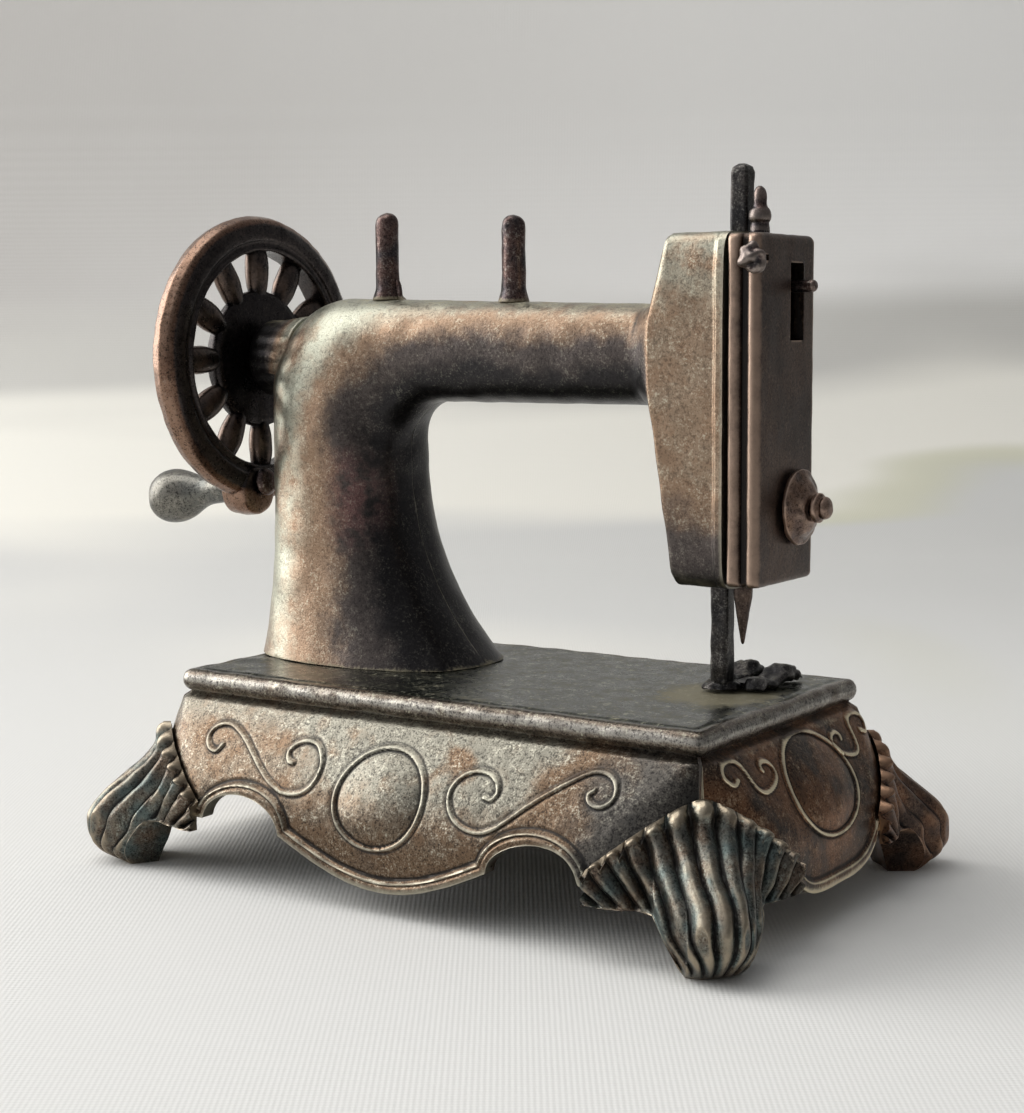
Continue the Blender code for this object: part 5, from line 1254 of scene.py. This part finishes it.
def spoke_tree():
    """A tree that repeats the incoming spoke round the Z axis."""
    tree = bpy.data.node_groups.new("Spokes round a shaft", "GeometryNodeTree")
    tree.interface.new_socket("Spoke", in_out="INPUT", socket_type="NodeSocketGeometry")
    tree.interface.new_socket("Count", in_out="INPUT", socket_type="NodeSocketInt")
    tree.interface.new_socket("Material", in_out="INPUT", socket_type="NodeSocketMaterial")
    tree.interface.new_socket("Spokes", in_out="OUTPUT", socket_type="NodeSocketGeometry")
    nodes, links = tree.nodes, tree.links
    start, end = nodes.new("NodeGroupInput"), nodes.new("NodeGroupOutput")
    points = nodes.new("GeometryNodePoints")
    links.new(start.outputs["Count"], points.inputs["Count"])
    index = nodes.new("GeometryNodeInputIndex")
    share = nodes.new("ShaderNodeMath")
    share.operation = "DIVIDE"
    links.new(index.outputs[0], share.inputs[0])
    links.new(start.outputs["Count"], share.inputs[1])
    turn = nodes.new("ShaderNodeMath")
    turn.operation = "MULTIPLY"
    turn.inputs[1].default_value = 2.0 * math.pi
    links.new(share.outputs[0], turn.inputs[0])
    angles = nodes.new("ShaderNodeCombineXYZ")
    links.new(turn.outputs[0], angles.inputs["Z"])
    copies = nodes.new("GeometryNodeInstanceOnPoints")
    links.new(points.outputs[0], copies.inputs["Points"])
    links.new(start.outputs["Spoke"], copies.inputs["Instance"])
    links.new(angles.outputs[0], copies.inputs["Rotation"])
    real = nodes.new("GeometryNodeRealizeInstances")
    links.new(copies.outputs[0], real.inputs[0])
    paint = nodes.new("GeometryNodeSetMaterial")
    links.new(real.outputs[0], paint.inputs["Geometry"])
    links.new(start.outputs["Material"], paint.inputs["Material"])
    links.new(paint.outputs[0], end.inputs[0])
    return tree


def run_tree(obj, tree, **values):
    """Evaluates the tree on the object and keeps the result as a plain mesh."""
    modifier = obj.modifiers.new(tree.name, "NODES")
    modifier.node_group = tree
    for item in tree.interface.items_tree:
        if item.in_out == "INPUT" and item.name in values:
            modifier[item.identifier] = values[item.name]
    obj.data = applied(obj)
    return obj


def one_spoke():
    """A barrel-shaped spoke along X, from inside the hub to inside the rim.

    It is made about the origin for the tree, so what make_mesh adds is taken off first.
    """
    inner, outer, wide, thick, set_back = 6.6, 12.4, 1.5, 1.1, 1.6
    share = np.linspace(0.0, 1.0, 18)
    swell = 0.62 + 0.38 * np.sin(math.pi * share) ** 0.8
    turn = np.linspace(0.0, 2 * math.pi, 24, endpoint=False)
    out = np.repeat(mix(inner, outer, share)[:, None], len(turn), axis=1)
    rings = np.stack([out - MIDDLE / MM, wide * swell[:, None] * np.cos(turn),
                      -set_back + thick * swell[:, None] * np.sin(turn)], -1)
    return loft("spokes", rings)


# %% Handwheel
CRANK_RADIUS, CRANK_ANGLE, GRIP_LEAN = 13.9, math.radians(-97), math.radians(9)


def wheel_handled(p):
    """1 round the outside of the rim and near 0 at the hub."""
    out = np.hypot(p[:, 1] - BODY_OFFSET, p[:, 2] - SHAFT_Z)
    return 0.05 + 0.2 * smoothstep(7.0, 8.5, out) + 0.6 * smoothstep(14.0, 15.1, out)


def wheel_rim(axis):
    line = [(11.5, -0.3), (11.8, -0.02), (12.1, -0.35), (12.5, -0.35), (12.75, -0.06), (13.5, 0),
            (14.3, -0.16), (14.95, -0.62), (15.3, -1.6), (14.95, -2.7), (14.25, -3.2), (11.85, -3.2),
            (11.5, -2.9)]
    inside = mix(np.array(line[0]), np.array(line[-1]), 0.5)
    return turned("wheel_rim", soften([inside] + line + [inside], 0.22)[:-1], axis, 240, ring=True)


def wheel_hub(axis):
    line = [(1.2, -0.6), (2.4, -0.6), (2.7, -0.8), (6.6, -0.8), (7.2, -1.0), (7.4, -1.5), (7.2, -2.4),
            (6.9, -2.65), (1.2, -2.7)]
    return turned("wheel_hub", soften(line, 0.25), axis, 120, ring=True)


def wheel_boss(axis):
    """The round boss that the crank's rivet goes through."""
    at = axis @ Matrix.Translation((-CRANK_RADIUS * math.sin(CRANK_ANGLE),
                                    CRANK_RADIUS * math.cos(CRANK_ANGLE), 0))
    at = at @ Matrix.Translation((0.35, -0.45, 0))
    line = [(0, -3.4), (2.3, -3.4), (2.6, -3.1), (2.75, -1.5), (2.6, -0.1), (2.2, 0.2), (0, 0.2)]
    return turned("wheel_boss", soften(line, 0.3), at, 56)


def handwheel():
    """Rim, spokes, hub and boss in one piece, with a hole for the rivet."""
    spokes = run_tree(one_spoke(), spoke_tree(), Count=SPOKES, Material=WHEEL)
    spokes.data.transform(along_x(*millimetres(-WHEEL_FACE, BODY_OFFSET, SHAFT_Z)))
    axis = along_x(-WHEEL_FACE, BODY_OFFSET, SHAFT_Z)
    rim = wheel_rim(axis)
    combine(rim, [spokes, wheel_hub(axis), wheel_boss(axis)], "UNION")
    rim.name = "wheel"
    hole = turned("wheel_hole", [(0, -9), (1.05, -9), (1.05, 6), (0, 6)], grip_matrix(), 32)
    combine(rim, [hole], "DIFFERENCE")
    dress(roughen(rim, 0.07, 1.4, 9.0), "wheel", WHEEL, "wheel", ["handwheel"], handled=wheel_handled)


def grip_matrix():
    """The crank grip's axis, a little below level."""
    root = (-36.1, BODY_OFFSET + CRANK_RADIUS * math.cos(CRANK_ANGLE),
            SHAFT_Z + CRANK_RADIUS * math.sin(CRANK_ANGLE))
    return Matrix.Translation(root) @ Matrix.Rotation(-math.pi / 2 - GRIP_LEAN, 4, "Y")


handwheel()


# %% [markdown]
# The crank's grip is a small pear that spins on a rivet. A smooth line through a few
# points, turned about the rivet's axis, makes the pear and the blind hole in it.


# %% Crank grip and its rivet
GRIP_START, GRIP_LENGTH, GRIP_RADIUS, GRIP_BORE, BORE_END = 0.5, 12.0, 3.0, 0.81, 6.8


def crank_grip():
    """The pear lists (share of the radius, share of the length) from its end to its root."""
    pear = [(0.0, 1.0), (0.2, 0.998), (0.5, 0.98), (0.8, 0.93), (0.96, 0.86), (1.0, 0.78), (0.97, 0.7),
            (0.86, 0.6), (0.7, 0.5), (0.57, 0.4), (0.51, 0.3), (0.5, 0.15), (0.52, 0.0)]
    line = curve_through([(GRIP_RADIUS * wide, GRIP_START + GRIP_LENGTH * far) for wide, far in pear], 5)
    line[:, 0] = np.maximum(line[:, 0], 0.0)
    bore = [(GRIP_BORE, GRIP_START), (GRIP_BORE, BORE_END), (0, BORE_END)]
    grip = turned("grip", np.vstack([line, bore]), grip_matrix(), 72)
    dress(roughen(grip, 0.12, 2.4, 11.0), "grip", GRIP, "grip", ["crank_grip"])


def handle_rivet():
    line = [(0, 6.5), (0.6, 6.5), (0.75, 6.3), (0.75, -3.7), (1.5, -3.7), (1.5, -4.0), (1.1, -4.45),
            (0, -4.6)]
    rivet = turned("rivet", soften(line, 0.2), grip_matrix(), 36)
    dress(rivet, "wheel", BLACKED, "rivet", ["handle_rivet"], plain=seldom)


crank_grip()
handle_rivet()

# %% [markdown]
# ## Needle and presser
# The needle bar is round and jogs inside the head, so that its upper end comes out in
# the cover's beaded post. A yoke and the take-up lever are part of it. The presser bar
# beside it is square, and its worn foot is two rough lumps on a small plate. The bars
# are lofts, because they jog, and each lump is a loft whose height swells twice.


# %% Needle bar
YOKE_Z, YOKE_HALF, YOKE_ROOM, YOKE_WALL = 51.591, 3.55, 0.65, 0.6
LEVER_Z, LEVER_HALF = 56.9, 0.575


def needle_bar():
    """The bar lists (x, z, radius) upwards and ends in the beaded post."""
    r, y = NEEDLE_RADIUS, BODY_OFFSET
    beads = ((62.1, r), (62.6, 0.8), (62.85, 1.0), (63.25, 1.05), (63.75, 0.92), (64.1, 0.6),
             (65.2, 0.62), (65.7, 0.45), (65.9, 0.15))
    line = [(NEEDLE_X, 33.0, r), (NEEDLE_X, 38.0, r), (POST_X, 41.0, r)]
    line = soften(line + [(POST_X, z, wide) for z, wide in beads], 0.3)
    turn = np.linspace(0, 2 * math.pi, 40, endpoint=False)
    rings = [np.stack([x + w * np.cos(turn), y + w * np.sin(turn), np.full(40, z)], -1) for x, z, w in line]
    bar = loft("needle_bar_casting", rings)
    low, high = YOKE_Z - YOKE_ROOM, YOKE_Z + YOKE_ROOM
    lever = soften([(0, 0), (LEVER_HALF, 0), (LEVER_HALF, 4.5), (0.4, 4.75), (0, 4.75)], 0.15)
    combine(bar, [block("yoke", (21.9, y - YOKE_HALF - YOKE_WALL, low - YOKE_WALL),
                        (22.5, y + YOKE_HALF + YOKE_WALL, high + YOKE_WALL)),
                  block("yoke_bridge", (22.2, y - r, high),
                        (POST_X, PRESSER_Y - PRESSER_HALF - SEAT_GAP, high + YOKE_WALL)),
                  block("lever_root", (POST_X - LEVER_HALF, y, LEVER_Z - LEVER_HALF),
                        (POST_X + LEVER_HALF, SLOT_Y + LEVER_HALF, LEVER_Z + LEVER_HALF)),
                  turned("lever", lever, along_x(POST_X, SLOT_Y, LEVER_Z), 36)], "UNION")
    combine(bar, [block("yoke_slot", (20, y - YOKE_HALF, low), (23, y + YOKE_HALF, high)),
                  drill("needle_socket", NEEDLE_X, 32, 35.8, 0.55)], "DIFFERENCE")
    dress(roughen(bar, 0.06, 1.2, 13.0), "needle_slide", BLACKED, "needle_bar", ["needle_bar"])


needle_bar()


# %% Needle
def needle():
    line = [(0, 35.5), (0.4, 35.5), (0.4, 32.7), (0.9, 32.7), (0.9, 29.3), (0.84, 28.2), (0.6, 26.6),
            (0.14, 23.98), (0, 23.9)]
    point = turned("needle_point", soften(line, 0.2), upright(NEEDLE_X, BODY_OFFSET), 36)
    dress(roughen(point, 0.08, 1.4, 15.0), "needle_slide", HEAD, "needle", ["needle"], plain=seldom)


needle()


# %% Presser bar
def spread_line(rows, step):
    """Points spaced evenly along an open line."""
    run = np.concatenate([[0.0], np.cumsum(np.linalg.norm(np.diff(rows, axis=0), axis=1))])
    at = np.linspace(0.0, run[-1], int(run[-1] / step) + 1)
    return np.stack([np.interp(at, run, rows[:, k]) for k in range(rows.shape[1])], -1)


def presser_bar():
    """The square bar lists (x, z, half width) upwards."""
    half = PRESSER_HALF
    line = [(PRESSER_X, 20.0, half), (PRESSER_X, 39.5, half), (PRESSER_TOP_X, 43.0, half),
            (PRESSER_TOP_X, 67.3, half), (PRESSER_TOP_X, 67.8, 0.8 * half),
            (PRESSER_TOP_X, 68.0, 0.35 * half)]
    rings = []
    for x, z, wide in spread_line(soften(line, 0.4), 0.5):
        ring = rounded_rectangle(wide, wide, 0.3 * wide, 40)
        rings.append(np.stack([x + ring[:, 0], PRESSER_Y + ring[:, 1], np.full(40, z)], -1))
    bar = roughen(loft("presser_rod", rings), 0.1, 1.4, 17.0)
    dress(bar, "presser_slide", PRESSER, "presser", ["presser_bar"], plain=seldom)


presser_bar()


# %% Presser foot
SOLE_Z = 19.52


def toe_lump(name, x0, x1, heel, tip):
    """A long lump with two humps, drawn as sections from heel to tip."""
    rings = []
    for share in np.linspace(0.0, 1.0, 22):
        blunt = math.sqrt(1.0 - abs(2.0 * share - 1.0) ** 5)
        high = (1.15 + 0.5 * math.sin(9.4 * share - 0.6 + 0.1 * x0)) * blunt + 0.05
        ring = rounded_rectangle((x1 - x0) / 2 * (0.75 + 0.25 * blunt), high / 2, 0.45 * high, 40)
        rings.append(np.stack([(x0 + x1) / 2 + ring[:, 0], np.full(40, mix(heel, tip, share)),
                               SOLE_Z + high / 2 + ring[:, 1]], -1))
    return loft(name, rings)


def presser_foot():
    """Two toes on a small plate, with a collar round the bar."""
    left, right, toe_gap = PRESSER_X - 1.9, PRESSER_X + 4.5, 1.1
    middle = (left + right) / 2
    heel, tip = PRESSER_Y + 0.4, PRESSER_Y + 8.575
    shoe = toe_lump("toe_left", left, middle - toe_gap / 2, heel, tip)
    toe = toe_lump("toe_right", middle + toe_gap / 2, right, heel, tip)
    plate = block("foot_plate", (middle - 2, heel + 0.3, SOLE_Z), (middle + 1, heel + 3.2, 20.0))
    wide = PRESSER_HALF + SEAT_GAP + 0.4
    profile = [(0, SOLE_Z), (1.2 * wide, SOLE_Z), (1.15 * wide, 19.75), (0.98 * wide, 20.1), (0, 20.25)]
    collar = turned("foot_collar", soften(profile, 0.3), upright(PRESSER_X, PRESSER_Y), 48)
    combine(shoe, [toe, plate, collar], "UNION")
    combine(shoe, [drill("foot_hole", NEEDLE_X, 19, 21, 0.7)], "DIFFERENCE")
    shoe.name = "foot_shoe"
    dress(roughen(shoe, 0.32, 0.8, 19.0), "presser_slide", PRESSER, "presser", ["presser_foot"],
          plain=seldom)


presser_foot()

# %% [markdown]
# ## The pieces kept as they are
# Shaft, bushes, crank disc and screws sit inside the casting. Their plain turned shapes
# need nothing finer, so they only get a finish in their material slots.


# %% Inner pieces
def finish_node(name, material):
    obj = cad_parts[name]
    for slot in obj.material_slots:
        slot.material = material
    print(name, "is finished with", material.name)


for node, material in (("column_screw_outer", STEEL), ("column_screw_inner", STEEL), ("rear_bush", BRASS),
                       ("front_bush", BRASS), ("main_shaft", STEEL), ("crank_disc", STEEL)):
    finish_node(node, material)

# %% [markdown]
# ## Table, light and camera
# The machine stands on a pale sheet that curves up behind it. A large soft lamp from
# the left gives the long highlights that a dark casting needs, a weaker one stands
# overhead, and a pale world fills the shadows.


# %% Cloth
VIEW = math.radians(34.29)
THREAD = 0.44


def stage_finish():
    """Pale cloth with painted light and shade: brighter near the front, a painted fold shadow, and lighter
    and greyer bands up the wall, darker to the upper left.
    """
    f = Finish("pale_cloth")
    pitch = 2.0 * math.pi / (THREAD * MM)
    warp = f.along(pitch * math.cos(VIEW), pitch * math.sin(VIEW), 0.0).sine()
    weft = f.along(-pitch * math.sin(VIEW), pitch * math.cos(VIEW), 0.0).sine()
    weave = 0.25 * warp + 0.25 * weft + 0.5 * f.noise(0.7, 2.0, 0.5)
    broad = f.noise(70.0, 2.0)
    folds = f.noise(40.0, 1.0, stretch=(4.0, 4.0, 0.35), shift=11.0)
    away = f.along(-math.sin(VIEW) / MM, math.cos(VIEW) / MM, 0.0)
    height = f.node("ShaderNodeSeparateXYZ", {}, {0: f.where}, 2) * (1.0 / MM)
    across = f.along(math.cos(VIEW) / MM, math.sin(VIEW) / MM, 0.0)
    # Painted light on the floor: brighter near the front, darker away from it.
    colour = f.mix(away.smooth(-90.0, 220.0), (0.78, 0.775, 0.75), (0.56, 0.56, 0.545))
    # Painted light and shade up the wall: a bright cream band low down, a yellow-green painted fold shadow,
    # a greyer band, and above it darker to the left, lighter to the right.
    wall = height + 26.0 * (folds - 0.5) - 14.0 * across.smooth(60.0, 140.0)
    colour = f.mix(wall.smooth(2.0, 12.0), colour, (0.78, 0.76, 0.69))
    fold_shadow = wall.smooth(0.0, 5.0) * (1.0 - wall.smooth(6.0, 12.0)) * across.smooth(50.0, 90.0)
    colour = f.mix(0.5 * fold_shadow, colour, (0.55, 0.54, 0.33))
    colour = f.mix(wall.smooth(26.0, 42.0), colour, (0.48, 0.47, 0.44))
    above = f.mix(across.smooth(-200.0, 160.0), (0.38, 0.365, 0.35), (0.84, 0.83, 0.81))
    colour = f.mix(wall.smooth(44.0, 70.0), colour, above)
    colour = f.mix(0.25 * broad + 0.1 * weave, colour, (0.68, 0.68, 0.67))
    return f.finish(base_color=colour, roughness=0.9, metallic=0.0, normal=f.bump(weave, 0.04, 0.5))


# %% Backdrop
def backdrop():
    """A floor that sweeps up into a wall behind the machine."""
    start, sweep, wall_top = 260.0, 120.0, 500.0
    line = [(start + sweep * math.sin(t), sweep * (1 - math.cos(t)))
            for t in np.linspace(0.0, math.pi / 2, 16)]
    line = [(-400.0, 0.0)] + line + [(start + sweep, wall_top)]
    away = Vector((-math.sin(VIEW), math.cos(VIEW), 0))
    side = Vector((away.y, -away.x, 0))
    columns = np.linspace(-600, 600, 13)
    rows = [[tuple(away * far + side * s + Vector((0, 0, z))) for s in columns] for far, z in line]
    floor = make_mesh("floor", np.array(rows), grid_faces(len(rows), len(columns)), 80.0)
    floor.data.materials.append(stage_finish())
    print("backdrop:", len(floor.data.polygons), "faces")


backdrop()


# %% Lamps
def area_lamp(name, direction, distance, size, power, colour):
    """A round soft lamp that faces the machine."""
    lamp = bpy.data.lights.new(name, "AREA")
    lamp.shape, lamp.size, lamp.energy, lamp.color = "DISK", size, power, colour
    obj = bpy.data.objects.new(name, lamp)
    target = Vector((0.0, 0.0, 0.03))
    obj.location = target + Vector(direction).normalized() * distance
    obj.rotation_euler = (target - obj.location).to_track_quat("-Z", "Y").to_euler()
    bpy.context.scene.collection.objects.link(obj)
    print(f"{name} lamp: {power} W")


area_lamp("window", (-0.95, -0.3, 0.4), 0.6, 0.6, 4.1, (1.0, 0.99, 0.97))
area_lamp("sky", (-0.35, -0.1, 1.0), 0.7, 0.5, 1.5, (1.0, 0.98, 0.95))


# %% Room
def room():
    """A room that is bright towards the window and dim in front."""
    world = bpy.data.worlds.new("room")
    world.use_nodes = True
    nodes, links = world.node_tree.nodes, world.node_tree.links
    where = nodes.new("ShaderNodeTexCoord")
    towards = nodes.new("ShaderNodeVectorMath")
    towards.operation = "DOT_PRODUCT"
    towards.inputs[1].default_value = Vector((-0.85, -0.12, 0.5)).normalized()
    links.new(where.outputs["Generated"], towards.inputs[0])
    strength = nodes.new("ShaderNodeMapRange")
    strength.interpolation_type = "SMOOTHSTEP"
    for label, value in (("From Min", -0.2), ("From Max", 0.95), ("To Min", 0.2), ("To Max", 0.84)):
        strength.inputs[label].default_value = value
    links.new(towards.outputs["Value"], strength.inputs[0])
    nodes["Background"].inputs[0].default_value = (0.97, 0.98, 1.0, 1.0)
    links.new(strength.outputs[0], nodes["Background"].inputs[1])
    bpy.context.scene.world = world


room()


# %% Camera
def set_camera():
    """Turned round to VIEW, tipped down by pitch and rolled a little, as a hand holds one."""
    scene = bpy.context.scene
    pitch, roll = math.radians(6.59), math.radians(-0.4)
    forward = Vector((-math.sin(VIEW) * math.cos(pitch), math.cos(VIEW) * math.cos(pitch), -math.sin(pitch)))
    right = forward.cross(Vector((0, 0, 1))).normalized()
    up = right.cross(forward)
    right, up = (right * math.cos(roll) + up * math.sin(roll), up * math.cos(roll) - right * math.sin(roll))
    data = bpy.data.cameras.new("camera")
    data.lens, data.sensor_width, data.sensor_fit = 62.32, 36.0, "AUTO"
    data.clip_start, data.clip_end = 0.01, 5.0
    camera = bpy.data.objects.new("camera", data)
    matrix = Matrix((right, up, -forward)).transposed().to_4x4()
    matrix.translation = millimetres(106.77, -156.54, 52.77)
    camera.matrix_world = matrix
    scene.collection.objects.link(camera)
    scene.camera = camera
    scene.view_settings.view_transform = "Standard"
    print("camera:", [round(value / MM, 1) for value in matrix.translation], "mm")


set_camera()
